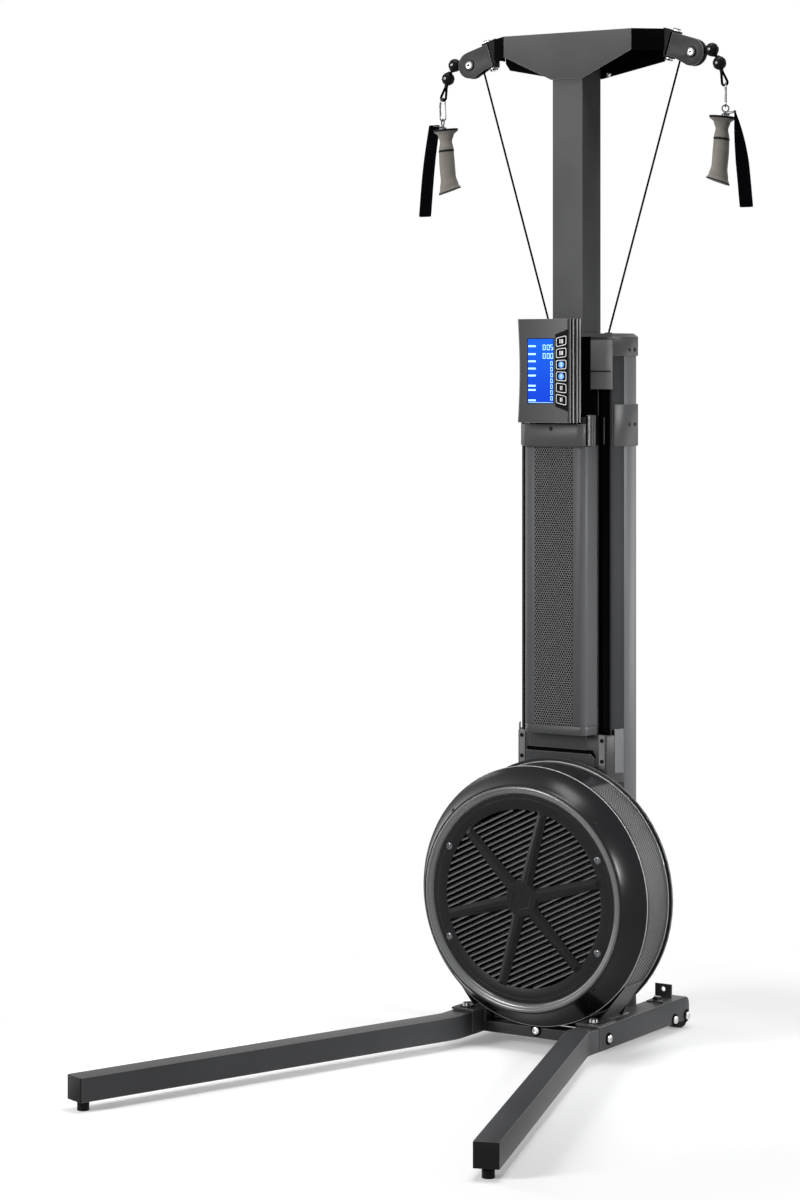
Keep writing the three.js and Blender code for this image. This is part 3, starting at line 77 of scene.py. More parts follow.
def in_scene(name, data):
    made = bpy.data.objects.new(name, data)
    bpy.context.scene.collection.objects.link(made)
    return made


# Camera
camera_data = bpy.data.cameras.new("camera")
camera = in_scene("camera", camera_data)
bpy.context.scene.camera = camera
camera.location = (3.3063, -5.3196, 1.4413)
camera.rotation_euler = (radians(90), 0, radians(32.824))
camera_data.lens = 92.82
camera_data.shift_x = -0.00678
camera_data.shift_y = -0.19734


# Shader sockets written as Python values
class Wire:
    """One output socket of the tree being drawn; arithmetic on it adds Math nodes."""

    tree = None

    def __init__(self, socket):
        self.socket = socket

    def apply(self, operation, other=0.0):
        return node("ShaderNodeMath", {"operation": operation}, {0: self, 1: other})

    def __add__(self, other):
        return self.apply("ADD", other)

    def __sub__(self, other):
        return self.apply("SUBTRACT", other)

    def __rsub__(self, other):
        return node("ShaderNodeMath", {"operation": "SUBTRACT"}, {0: other, 1: self})

    def __mul__(self, other):
        return self.apply("MULTIPLY", other)

    def __truediv__(self, other):
        return self.apply("DIVIDE", other)

    def __pow__(self, other):
        return self.apply("POWER", other)

    __radd__ = __add__
    __rmul__ = __mul__

    def between(self, low, high):
        """0 at low and 1 at high, with a soft start and end."""
        return node(
            "ShaderNodeMapRange", {"interpolation_type": "SMOOTHSTEP"},
            {"Value": self, "From Min": low, "From Max": high},
        )


def node(kind, settings=None, values=None, output=0):
    """Adds a node: its settings first, then its sockets' values or links."""
    made = Wire.tree.nodes.new(kind)
    for name, value in (settings or {}).items():
        setattr(made, name, value)
    for name, value in (values or {}).items():
        if isinstance(value, Wire):
            Wire.tree.links.new(value.socket, made.inputs[name])
        else:
            made.inputs[name].default_value = value
    return Wire(made.outputs[output])


def place():
    return node("ShaderNodeTexCoord", output="Object")


def axes(vector):
    return [node("ShaderNodeSeparateXYZ", values={"Vector": vector}, output=i) for i in range(3)]


def noise(scale, detail, stretch=(1, 1, 1)):
    stretched = node(
        "ShaderNodeMapping", {"vector_type": "POINT"}, {"Vector": place(), "Scale": stretch},
    )
    return node("ShaderNodeTexNoise", values={"Vector": stretched, "Scale": scale, "Detail": detail})


def blended(share, first, second):
    """A colour between two colours, each three numbers or a socket."""
    first, second = [
        colour if isinstance(colour, Wire) else (*colour, 1) for colour in (first, second)
    ]
    return node("ShaderNodeMix", {"data_type": "RGBA"}, {0: share, 6: first, 7: second}, output=2)


def bumped(height, strength, distance):
    return node("ShaderNodeBump", values={"Strength": strength, "Distance": distance, "Height": height})


def field(name):
    return node("ShaderNodeAttribute", {"attribute_name": name}, output=2)


def edge_highlight(width):
    """1 along the rounded outer edges, where a painted highlight goes, 0 on the flats; the width is in
    metres.
    """
    rounded = node("ShaderNodeBevel", {"samples": 4}, {"Radius": width})
    facet = node("ShaderNodeNewGeometry", output="Normal")
    match = node(
        "ShaderNodeVectorMath", {"operation": "DOT_PRODUCT"}, {0: rounded, 1: facet}, output="Value",
    )
    return (1.0 - match).between(0.01, 0.16)


def draw_in(owner):
    """Makes the material's or the world's empty tree the one being drawn."""
    owner.use_nodes = True
    Wire.tree = owner.node_tree
    Wire.tree.nodes.clear()


def link_surface(shader, kind="ShaderNodeOutputMaterial"):
    output = Wire.tree.nodes.new(kind)
    Wire.tree.links.new(shader.socket, output.inputs["Surface"])


def surface(name, draw):
    """A material whose surface is the shader that draw returns."""
    made = bpy.data.materials.new(name)
    draw_in(made)
    link_surface(draw())
    return made


# Finishes of the machine
grain_height = 0.0002
# Widths of the painted edge highlight, in metres: on coats and on moulded plastic
edge_highlight_width, small_edge_highlight_width = 0.0020, 0.0012
black_hole = (0.002, 0.002, 0.002)


def shade(tone, share):
    return [channel * share for channel in tone]


def lighter(tone, more):
    return [channel + more for channel in tone]


def coat(tone, roughness, shine, edge):
    """Powder coat: a fine orange peel, faint cloudiness, a small drift in gloss and a painted highlight
    along its edges.
    """
    def draw():
        cloud = noise(5.0, 3.0)
        peel = noise(900.0, 2.0)
        body_tone = blended(cloud.between(0.3, 0.7), shade(tone, 0.9), shade(tone, 1.12))
        return {
            "Base Color": blended(edge_highlight(edge_highlight_width) * (cloud + 0.35), body_tone, lighter(tone, edge)),
            "Roughness": roughness + (cloud - 0.5) * 0.10 + (peel - 0.5) * 0.10,
            "Specular IOR Level": shine,
            "Normal": bumped(peel, 0.10, grain_height),
        }
    return draw


def extruded(tone, roughness, metallic, painted_shade=None):
    """Coated aluminium extrusion: faint draw lines along its height, and black painted shade inside its
    grooves.
    """
    def draw():
        cloud = noise(4.0, 3.0)
        lines = noise(60.0, 3.0, stretch=(14, 14, 0.15))
        peel = noise(1100.0, 1.0)
        # Painted shade: black inside the grooves, where the recesses lie in shadow
        black = painted_shade() if painted_shade else 0.0
        drawn = blended(cloud * 0.5 + lines * 0.5, shade(tone, 0.88), shade(tone, 1.15))
        return {
            "Base Color": blended(black, drawn, (0.004, 0.004, 0.004)),
            "Roughness": roughness + (lines - 0.5) * 0.16 + (peel - 0.5) * 0.06,
            "Metallic": metallic * (1.0 - black), "Specular IOR Level": 0.1,
            "Normal": bumped(lines * 0.6 + peel * 0.4, 0.10, grain_height),
        }
    return draw


groove_near, groove_far = 77.6, 106.4
groove_front_y, groove_back_y = -43.4, -18.0


def groove_shade_mask():
    """1 in the two deep grooves down the tower's front, where black painted shade goes."""
    x, y, _ = axes(place())
    out = x.apply("ABSOLUTE")
    beside = out.apply("GREATER_THAN", groove_near * mm) * out.apply("LESS_THAN", groove_far * mm)
    behind = y.apply("GREATER_THAN", (row_y + groove_front_y) * mm)
    return beside * behind * y.apply("LESS_THAN", (row_y + groove_back_y) * mm)


def moulded(tone, roughness, shine, edge=0.10, grain=650.0, depth=0.12, coat_weight=0.0):
    """Moulded plastic: a fine spark grain, a soft drift in gloss and a painted highlight along its edges.
    """
    def draw():
        spark = noise(grain, 3.0)
        drift = noise(7.0, 2.0)
        body_tone = blended(spark * 0.4 + drift * 0.6, shade(tone, 0.85), shade(tone, 1.18))
        return {
            "Base Color": blended(edge_highlight(small_edge_highlight_width) * (drift + 0.3), body_tone, lighter(tone, edge)),
            "Roughness": roughness + (drift - 0.5) * 0.14 + (spark - 0.5) * 0.10,
            "Specular IOR Level": shine, "Coat Weight": coat_weight, "Coat Roughness": 0.12,
            "Normal": bumped(spark, depth, grain_height),
        }
    return draw


def metal(tone, roughness, turned_share=0.3):
    """Bright metal with fine turning marks and a little uneven polish."""
    def draw():
        marks = noise(1500.0, 2.0, stretch=(1, 1, 0.2))
        dull = noise(40.0, 2.0)
        return {
            "Base Color": blended(dull, shade(tone, 0.8), tone),
            "Roughness": roughness + (dull - 0.5) * 0.12 + (marks - 0.5) * 0.2 * turned_share,
            "Metallic": 1.0,
            "Normal": bumped(marks, 0.05 * turned_share, 0.0001),
        }
    return draw


def staggered_dots(across, along, pitch, radius):
    """1 inside round holes that stand in staggered rows, with soft rims; lengths in metres."""
    row = pitch * sqrt(3)
    nearest = None
    for shift in (0.0, 0.5):
        a = (across / pitch + shift).apply("FRACT") - 0.5
        b = (along / row + shift).apply("FRACT") - 0.5
        away = ((a * pitch) ** 2.0 + (b * row) ** 2.0).apply("SQRT")
        nearest = away if nearest is None else nearest.apply("MINIMUM", away)
    return 1.0 - nearest.between(radius * 0.8, radius * 1.15)


hole_pitch = 0.0056
grille_hole, band_hole = 0.0025, 0.0023


def perforated_flat():
    """The grille: a grey sheet, flat in X and Z, with black holes."""
    x, _, z = axes(place())
    holes = staggered_dots(x, z, hole_pitch, grille_hole)
    cloud = noise(5.0, 3.0)
    return {
        "Base Color": blended(holes, (0.250, 0.253, 0.258), black_hole),
        "Roughness": 0.42 + holes * 0.4 + (cloud - 0.5) * 0.1, "Specular IOR Level": 0.2,
        "Normal": bumped(1.0 - holes, 0.8, 0.0008),
    }


def perforated_round():
    """The band round the drum: holes over the greater part of its height, black sheet above and below."""
    x, y, z = axes(place())
    angle = node("ShaderNodeMath", {"operation": "ARCTAN2"}, {0: z - fan_z * mm, 1: x})
    level = (z - fan_z * mm) / (band_radius * mm)
    window = level.between(-0.66, -0.60) * (1.0 - level.between(0.84, 0.88))
    holes = staggered_dots(angle * (band_radius * mm), y, hole_pitch, band_hole) * window
    drift = noise(9.0, 2.0)
    sheet = blended(drift, (0.140, 0.142, 0.145), (0.190, 0.192, 0.196))
    return {
        "Base Color": blended(holes, blended(window, (0.010, 0.010, 0.011), sheet), (0.003, 0.003, 0.003)),
        "Roughness": 0.24 + window * 0.14 + holes * 0.3 + (drift - 0.5) * 0.06,
        "Metallic": window * 0.4 * (1.0 - holes), "Specular IOR Level": 0.35,
        "Normal": bumped(1.0 - holes, 0.7, 0.0008),
    }


def woven():
    """Flat webbing: a chevron weave that follows the strap's own length and width."""
    along, across = field("along"), field("across")
    rib = (across * 1800.0 + (along * 1500.0).apply("SINE") * 0.6).apply("SINE")
    pick = (along * 2600.0).apply("SINE")
    weave = rib * 0.6 + pick * 0.4
    fuzz = noise(1200.0, 2.0)
    edge = across.apply("ABSOLUTE").between(0.0112, 0.0136)
    return {
        "Base Color": blended(
            weave * 0.35 + fuzz * 0.3 + edge * 0.25, (0.001, 0.001, 0.002), (0.010, 0.010, 0.011),
        ),
        "Roughness": 0.82 + fuzz * 0.12, "Specular IOR Level": 0.0,
        "Normal": bumped(weave + fuzz * 0.5, 0.5, 0.0006),
    }


def braided():
    """Round braid: two sets of strands that cross over each other."""
    along, around = field("along"), field("around")
    over = (around * 6.0 + along * 1400.0).apply("SINE")
    under = (around * 6.0 - along * 1400.0).apply("SINE")
    braid = over.apply("MAXIMUM", under)
    return {
        "Base Color": blended(braid.between(-0.2, 1.0), (0.001, 0.001, 0.001), (0.006, 0.006, 0.007)),
        "Roughness": 0.62 + braid * 0.12, "Specular IOR Level": 0.0,
        "Normal": bumped(braid, 0.5, 0.0005),
    }


def lit_display():
    """Blue liquid crystal: brighter towards its lamp edge, with a faint cell grid."""
    x, _, z = axes(place())
    grid = ((x * 4200.0).apply("SINE") * (z * 4200.0).apply("SINE")) * 0.5 + 0.5
    glow = z.between(1.36, 1.50)
    tint = blended(glow * 0.75 + grid * 0.15, (0.0, 0.055, 0.80), (0.0, 0.16, 1.0))
    return {
        "Base Color": (0.0, 0.004, 0.03, 1), "Roughness": 0.30 + grid * 0.02, "Specular IOR Level": 0.03,
        "Emission Color": tint, "Emission Strength": 0.95,
    }


def lit_marks(tone, strength):
    """Figures and outlines that glow by themselves."""
    def draw():
        soft = noise(600.0, 1.0)
        return {
            "Base Color": blended(soft, tone, shade(tone, 0.92)),
            "Roughness": 0.3 + soft * 0.1, "Emission Color": (*tone, 1), "Emission Strength": strength,
        }
    return draw


def rubbed():
    """Soft grip rubber: a pebbled skin and a patchy drift in tone."""
    pebble = node("ShaderNodeTexVoronoi", values={"Vector": place(), "Scale": 620.0, "Randomness": 0.9})
    worn = noise(28.0, 3.0)
    return {
        "Base Color": blended(worn.between(0.25, 0.75), (0.150, 0.136, 0.117), (0.205, 0.188, 0.165)),
        "Roughness": 0.55 + pebble * 0.25 + (worn - 0.5) * 0.12,
        "Normal": bumped(1.0 - pebble, 0.25, 0.0003),
    }


fan_z = 321.0
band_radius = 271.5

# Slots of the record, each with its finishes
# A coat's last number, and a moulded finish's fourth, is how much lighter its painted edge highlight is
finishes = {
    "frame_coat": {
        "graphite_coat": coat((0.112, 0.113, 0.115), 0.46, 0.0, 0.34),
        "leg_coat": coat((0.045, 0.046, 0.048), 0.40, 0.16, 0.24),
        "dark_coat": coat((0.042, 0.042, 0.043), 0.38, 0.12, 0.32),
        # A near-black copy of the frame's coat for the swivel yokes: painted shade
        "yoke_shade_coat": coat((0.008, 0.008, 0.009), 0.46, 0.06, 0.05),
        # Near-black coat: the real colour of the black washers and screws, and painted shade on faces and
        # strips that stand in shadow
        "black_coat_and_shade": coat((0.004, 0.004, 0.004), 0.60, 0.0, 0.02),
    },
    "tower_coat": {
        "tower_extrusion": extruded((0.117, 0.119, 0.123), 0.32, 0.85, groove_shade_mask),
        "casing_extrusion": extruded((0.086, 0.087, 0.090), 0.40, 0.05),
        # A dark, plain copy of the extrusion's finish: painted shade on the tower's front facets
        "tower_front": extruded((0.022, 0.023, 0.025), 0.50, 0.0, groove_shade_mask),
    },
    "trim_plastic": {
        "console_plastic": moulded((0.036, 0.037, 0.038), 0.30, 0.2, 0.42),
        # A light copy of the console's plastic: painted highlight on its side ribs
        "console_rib_highlight": moulded((0.330, 0.331, 0.336), 0.28, 0.3),
        "trim_plastic": moulded((0.064, 0.065, 0.067), 0.34, 0.2, 0.26),
        "cheek_plastic": moulded((0.200, 0.201, 0.205), 0.34, 0.2),
        # Black plastic: the real colour of the black parts, and painted shade on the drum back plate's
        # front faces
        "black_plastic_and_shade": moulded((0.007, 0.007, 0.008), 0.42, 0.12, 0.03),
    },
    "drum_plastic": {
        "drum_plastic": moulded((0.003, 0.003, 0.004), 0.25, 0.20, 0.05, 900.0, 0.02, 0.03),
        "bead_plastic": moulded((0.100, 0.101, 0.104), 0.20, 0.6, 0.25, 900.0, 0.03, 0.3),
        # Light plastic for thin rings: painted highlights along the drum's rims
        "rim_highlight_plastic": moulded((0.320, 0.322, 0.326), 0.20, 0.6, 0.25, 900.0, 0.03, 0.3),
    },
    "panel_plastic": {
        "panel_plastic": moulded((0.011, 0.011, 0.012), 0.34, 0.12),
        "slat_plastic": moulded((0.010, 0.010, 0.011), 0.30, 0.2, 0.40),
        # A lighter copy of the slat plastic: painted highlight on the slats' front faces
        "slat_edge_highlight": moulded((0.085, 0.086, 0.089), 0.28, 0.4, 0.30),
    },
    "mesh": {
        "grille": perforated_flat,
        "band_mesh": perforated_round,
    },
    "display": {
        "display": lit_display,
        "display_marks": lit_marks((0.34, 0.74, 1.0), 0.85),
    },
    "keys": {
        "key_outline": lit_marks((0.82, 0.83, 0.84), 0.25),
        "key_lit": lit_marks((0.01, 0.22, 0.90), 0.8),
        "key_face": moulded((0.002, 0.002, 0.002), 0.45, 0.04, 0.01),
    },
    "bright_steel": {
        "bright_steel": metal((0.78, 0.78, 0.79), 0.26),
        # Light metal: the bar rails, and painted highlights in strips down the collars
        "bright_trim_and_highlight": metal((0.52, 0.52, 0.53), 0.34),
    },
    "chrome": {"chrome": metal((0.13, 0.135, 0.145), 0.18, 0.1)},
    "rubber": {"rubber": moulded((0.006, 0.006, 0.007), 0.46, 0.07, 0.03, 500.0, 0.2)},
    "grip": {"grip_rubber": rubbed},
    "webbing": {"webbing": woven},
    "cord": {"braid": braided},
}
looks, slots = {}, {}
for slot, drawings in finishes.items():
    for name, draw in drawings.items():
        slots[name] = slot
        looks[name] = surface(name, lambda: node("ShaderNodeBsdfPrincipled", values=draw()))


# Mesh tools: a part is its points, its faces and, where a weave needs them, its fields
def evenly(first, last, steps):
    """Even values from first to last, with both ends."""
    return [first + (last - first) * i / steps for i in range(steps + 1)]


def full_turn(steps):
    return evenly(0, 2 * pi, steps)[:-1]


def joined(*parts):
    points, faces = [], []
    for more_points, more_faces, *_ in parts:
        start = len(points)
        points.extend(more_points)
        faces.extend([start + i for i in face] for face in more_faces)
    return points, faces


def moved(part, matrix):
    return [matrix @ Vector(point) for point in part[0]], *part[1:]


def shifted(part, x=0.0, y=0.0, z=0.0):
    return moved(part, Matrix.Translation((x, y, z)))


def mirror(side):
    return Matrix.Scale(sides[side], 4, (1, 0, 0))


def facing(direction):
    """Turns the Z axis to a direction."""
    return Vector((0, 0, 1)).rotation_difference(Vector(direction)).to_matrix().to_4x4()


def slab(outline, low, high):
    """An outline in X and Y between two heights."""
    count = len(outline)
    points = [Vector((x, y, z)) for z in (low, high) for x, y in outline]
    faces = [list(range(count))[::-1], list(range(count, 2 * count))]
    faces += [[i, (i + 1) % count, count + (i + 1) % count, count + i] for i in range(count)]
    return points, faces


def front_slab(outline, low, high):
    """An outline in X and Z between two places on Y."""
    points, faces = slab(outline, low, high)
    return [Vector((point.x, point.z, point.y)) for point in points], faces


def block(x0, x1, y0, y1, z0, z1):
    return slab([(x0, y0), (x1, y0), (x1, y1), (x0, y1)], z0, z1)


def side_blocks(near, far, y0, y1, z0, z1):
    """Two blocks between two distances from the middle, one at the left and one at the right."""
    return [block(-far, -near, y0, y1, z0, z1), block(near, far, y0, y1, z0, z1)]


def turned(profile, steps=64, closed=False):
    """A lathe about Z: rows of radius and height, a radius of zero closing an end."""
    points, rings = [], []
    for radius, height in profile:
        count = steps if radius > 0 else 1
        rings.append(range(len(points), len(points) + count))
        for angle in full_turn(steps)[:count]:
            points.append(Vector((radius * cos(angle), radius * sin(angle), height)))
    faces = []
    pairs = list(zip(rings, rings[1:])) + ([(rings[-1], rings[0])] if closed else [])
    for first, second in pairs:
        for i in range(steps):
            j = (i + 1) % steps
            corners = [first[i % len(first)], first[j % len(first)]]
            corners += [second[j % len(second)], second[i % len(second)]]
            corners = list(dict.fromkeys(corners))
            if len(corners) > 2:
                faces.append(corners)
    return points, faces


def turned_forward(profile, steps=64, closed=False):
    """A lathe about the Y axis: rows of radius and place on Y."""
    points, faces = turned(profile, steps, closed)
    return [Vector((point.x, point.z, point.y)) for point in points], faces


def skin(starts, count, wrapped=True):
    """Faces over rings of points that begin at the given starts, with a cap at each end."""
    faces = []
    for first, second in zip(starts, starts[1:]):
        for i in range(count):
            j = (i + 1) % count if wrapped else i + 1
            faces.append([first + i, first + j, second + j, second + i])
    faces.append([starts[0] + i for i in range(count)][::-1])
    faces.append([starts[-1] + i for i in range(count)])
    return faces


def lofted(rings):
    count = len(rings[0])
    points = [Vector(point) for ring in rings for point in ring]
    return points, skin(range(0, len(points), count), count)


def swept(route, radius, around_steps=12, looped=False):
    """A tube along a route, with its length and its turn kept as fields for a weave."""
    route = [Vector(point) for point in route]
    if looped:
        route.append(route[0])
    normal, previous, travelled = None, route[0], 0.0
    points, along, around, starts = [], [], [], []
    for i, point in enumerate(route):
        ahead = route[min(i + 1, len(route) - 1)]
        behind = route[max(i - 1, 0)]
        if looped and i in (0, len(route) - 1):
            ahead, behind = route[1], route[-2]
        heading = (ahead - behind).normalized()
        if normal is None:
            normal = heading.orthogonal().normalized()
            if abs(heading.y) < 0.5:
                normal = (Vector((0, 1, 0)) - heading * heading.y).normalized()
        else:
            normal = (normal - heading * normal.dot(heading)).normalized()
        side = heading.cross(normal)
        travelled += (point - previous).length
        previous = point
        starts.append(len(points))
        for angle in evenly(0, 2 * pi, around_steps):
            points.append(point + (normal * cos(angle) + side * sin(angle)) * radius)
            along.append(travelled * mm)
            around.append(angle)
    faces = skin(starts, around_steps, wrapped=False)
    return points, faces[:-2] if looped else faces, {"along": along, "around": around}


def ribbon(route, widths, thickness, lays, columns=8):
    """A flat strap along a route, with its width and the direction of its width at each point."""
    points, along, across, starts = [], [], [], []
    travelled, previous = 0.0, route[0]
    for i, point in enumerate(route):
        heading = (route[min(i + 1, len(route) - 1)] - route[max(i - 1, 0)]).normalized()
        wide = (lays[i] - heading * heading.dot(lays[i])).normalized()
        out = heading.cross(wide)
        travelled += (point - previous).length
        previous = point
        starts.append(len(points))
        for face_side in (-1, 1):
            for share in evenly(face_side * 0.5, face_side * -0.5, columns):
                swell = thickness / 2 * (1 - (2 * abs(share)) ** 6 * 0.6)
                points.append(point + wide * (widths[i] * share) + out * (face_side * swell))
                along.append(travelled * mm)
                across.append(widths[i] * share * mm)
    return points, skin(starts, 2 * (columns + 1)), {"along": along, "across": across}


def outward_mesh(name, points, faces):
    """A mesh with its faces turned outward."""
    mesh = bpy.data.meshes.new(name)
    mesh.from_pydata(points, [], faces)
    form = bmesh.new()
    form.from_mesh(mesh)
    bmesh.ops.recalc_face_normals(form, faces=form.faces)
    form.to_mesh(mesh)
    form.free()
    return mesh


def as_modified(obj):
    """A new mesh of an object as its modifiers leave it."""
    shape = obj.evaluated_get(bpy.context.evaluated_depsgraph_get())
    return bpy.data.meshes.new_from_object(shape)


def round_edges(obj, width, segments=2):
    """Rounds the edges of a mesh, with the flats left flat."""
    for polygon in obj.data.polygons:
        polygon.use_smooth = True
    rounding = obj.modifiers.new("rounded", "BEVEL")
    rounding.width = width * mm
    rounding.segments = segments
    rounding.limit_method = "ANGLE"
    rounding.angle_limit = radians(30)
    rounding.harden_normals = True
    finished = as_modified(obj)
    obj.modifiers.clear()
    obj.data = finished


def piece(name, part, look, body="frame", stands_for=(), rounding=0.0, corner_degrees=32):
    """Makes a piece from a part, or a list of parts, with its finish, its body and what it stands for."""
    points, faces, *fields = joined(*part) if isinstance(part, list) else part
    mesh = outward_mesh(name, [at(point) for point in points], faces)
    for field_name, values in (fields[0] if fields else {}).items():
        mesh.attributes.new(field_name, "FLOAT", "POINT").data.foreach_set("value", values)
    obj = in_scene(name, mesh)
    if rounding:
        round_edges(obj, rounding)
    else:
        mesh.shade_smooth()
        mesh.set_sharp_from_angle(angle=radians(corner_degrees))
    return dress_up(obj, look, body, stands_for)


def dress_up(obj, look, body, stands_for=()):
    obj.data.materials.clear()
    obj.data.materials.append(looks[look])
    if body:
        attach(obj, body)
    if stands_for:
        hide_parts(*stands_for)
    return obj


def face_up(obj, look, chosen):
    """A second finish on the faces whose middle (in millimetres, from the mast) and normal are chosen."""
    obj.data.materials.append(looks[look])
    for polygon in obj.data.polygons:
        middle = polygon.center / mm - Vector((0, row_y, 0))
        if chosen(middle, polygon.normal):
            polygon.material_index = len(obj.data.materials) - 1


def refined(cad_node, look, rounding=1.0, segments=2):
    """The CAD solid with merged flats and rounded edges, in a piece that stands for it."""
    source = frame["nodes"][cad_node]
    form = bmesh.new()
    form.from_mesh(source.data)
    bmesh.ops.remove_doubles(form, verts=form.verts, dist=0.00001)
    bmesh.ops.dissolve_limit(form, angle_limit=radians(1), verts=form.verts, edges=form.edges)
    mesh = bpy.data.meshes.new(cad_node + "_finished")
    form.to_mesh(mesh)
    form.free()
    obj = in_scene(cad_node + "_finished", mesh)
    round_edges(obj, rounding, segments)
    return dress_up(obj, look, source["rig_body"], (cad_node,))


def carved(part, hollow):
    """A part with another part's space cut out of it."""
    body, tool = [in_scene("carving", outward_mesh("carving", *shape[:2])) for shape in (part, hollow)]
    cut = body.modifiers.new("cut", "BOOLEAN")
    cut.operation = "DIFFERENCE"
    cut.solver = "EXACT"
    cut.object = tool
    carving = as_modified(body)
    bpy.data.objects.remove(body)
    bpy.data.objects.remove(tool)
    points = [vertex.co.copy() for vertex in carving.vertices]
    return points, [list(face.vertices) for face in carving.polygons]


# Fasteners
washer_height = 1.6


def plain_washer(radius, thickness, shoulder=0.6, easing=0.5, steps=40):
    """A washer with an eased rim, flat on Z."""
    return turned([
        (0, 0), (radius, 0), (radius, thickness * shoulder), (radius - easing, thickness), (0, thickness),
    ], steps)


def on_washer(head, radius):
    """A head that stands on its washer, or the head alone where the washer has no radius."""
    return joined(head, plain_washer(radius, washer_height, 0.7, 0.6, 32)) if radius else head


def dome_bolt(radius, height, washer=0.0):
    """A domed head with a socket, standing on Z, on its washer if it has one."""
    foot = washer_height if washer else 0.0
    socket = radius * 0.42
    return on_washer(turned([
        (0, foot), (radius, foot), (radius, foot + height * 0.25), (radius * 0.93, foot + height * 0.6),
        (radius * 0.72, foot + height * 0.88), (radius * 0.5, foot + height),
        (socket, foot + height), (socket, foot + height * 0.45), (0, foot + height * 0.45),
    ], 24), washer)


def hex_bolt(radius, height, washer=0.0):
    foot = washer_height if washer else 0.0
    return on_washer(turned([
        (0, foot), (radius, foot), (radius, foot + height * 0.8), (radius * 0.86, foot + height),
        (0, foot + height),
    ], 6), washer)


def cross_screw(radius, height):
    """A low screw head with a crossed slot, drawn as a raised ring and a recessed cross."""
    head = turned([
        (0, 0), (radius, 0), (radius, height * 0.4), (radius * 0.8, height * 0.85),
        (radius * 0.62, height), (radius * 0.62, height * 0.5), (0, height * 0.5),
    ], 20)
    arm = radius * 0.16
    quarter = block(arm, radius * 0.6, arm, radius * 0.6, height * 0.5, height * 0.95)
    return joined(head, *[moved(quarter, Matrix.Rotation(pi / 2 * i, 4, "Z")) for i in range(4)])


def fixed(part, where, direction):
    return moved(part, Matrix.Translation(Vector(where)) @ facing(direction))


# Head: mast, crossbar and its two swivelling pulleys
swivel_x, swivel_z, pulley_y = 226.0, 2116.0, 15.0
swivel_tilt = radians(17.5)
pulley_reach, pulley_drop, pulley_half = 51.5, 3.5, 10


def swivel(side):
    """From the tilted pin's own frame to the drawing's."""
    return (
        mirror(side)
        @ Matrix.Translation((swivel_x, pulley_y, swivel_z))
        @ Matrix.Rotation(swivel_tilt, 4, "Y")
    )


def on_both_cheeks(part):
    """A part on both cheeks of the pulley housing, facing away from the wheel."""
    return joined(*[
        fixed(part, (pulley_reach, direction * pulley_half, -pulley_drop), (0, direction, 0))
        for direction in (-1, 1)
    ])


refined("mast_tube", "graphite_coat", 2.4, 3)
hood = refined("crossbar_hood", "graphite_coat", 0.9)
apron_half, hood_inside_y = 158, -42.5
# Painted shade: the hood's wings beyond the apron and its underside are painted near black
face_up(hood, "black_coat_and_shade", lambda middle, normal: (
    normal.z < 0.5 and (abs(middle.x) > apron_half or middle.y > hood_inside_y)
))
back_plate = refined("crossbar_back_plate", "graphite_coat", 0.9)
# Painted shade: the back plate's front faces, behind the hood, are painted near black
face_up(back_plate, "black_coat_and_shade", lambda middle, normal: normal.y < -0.5)
pulley_bolts = on_both_cheeks(shifted(dome_bolt(8.4, 3.8), z=1.2))
pulley_washers = on_both_cheeks(plain_washer(12.4, 1.2))
swivel_bolts = joined(
    fixed(dome_bolt(8.8, 4.2, 9.6), (0, 0, 29.9), (0, 0, 1)),
    fixed(hex_bolt(8.8, 4.4, 9.6), (0, 0, -29.4), (0, 0, -1)),
)
for side in sides:
    # The yokes take the near-black copy of the coat: painted shade
    refined(f"swivel_yoke_{side}", "yoke_shade_coat", 0.7)
    refined(f"pulley_housing_{side}", "dark_coat", 0.8)
    refined(f"pulley_wheel_{side}", "black_plastic_and_shade", 0.5)
    for name, part, look, body in (
        ("pulley_bolt", pulley_bolts, "bright_steel", f"housing_{side}"),
        ("pulley_washer", pulley_washers, "black_coat_and_shade", f"housing_{side}"),
        ("swivel_bolt", swivel_bolts, "bright_steel", "frame"),
    ):
        piece(f"{name}_{side}", moved(part, swivel(side)), look, body)
crossbar_bolts = [fixed(dome_bolt(8.5, 4.5, 11.5), (0, 46.4, z), (0, 1, 0)) for z in (2130, 2075)]
crossbar_bolts.append(fixed(dome_bolt(5.0, 2.6, 6.4), (56, 40.2, 2063.5), (0, -1, 0)))
piece("crossbar_bolts", crossbar_bolts, "bright_steel")

# Drive cords and what hangs on them
cord_radius, wheel_groove = 2.2, 23
wrap_radius = wheel_groove + cord_radius + fit_gap
pulley_x = swivel_x + pulley_reach * cos(swivel_tilt) - pulley_drop * sin(swivel_tilt)
pulley_z = swivel_z - pulley_reach * sin(swivel_tilt) - pulley_drop * cos(swivel_tilt)
eyelet_x, eyelet_z = 70.0, 1505.0
drum_cord_x, left_drum_y = 32.5, -20
stop_reach, stop_slope, stop_radius = 44.5, radians(4), 14.5
stop_upper = Vector((
    pulley_x + stop_reach * cos(stop_slope), pulley_y, pulley_z + stop_reach * sin(stop_slope),
))
stop_lower = Vector((336, pulley_y, 2071))
loop_foot = Vector((350, pulley_y, 2024))
eyelet = Vector((eyelet_x, pulley_y, eyelet_z))


def between_points(first, second, count):
    return [Vector(first).lerp(Vector(second), i / count) for i in range(count + 1)]


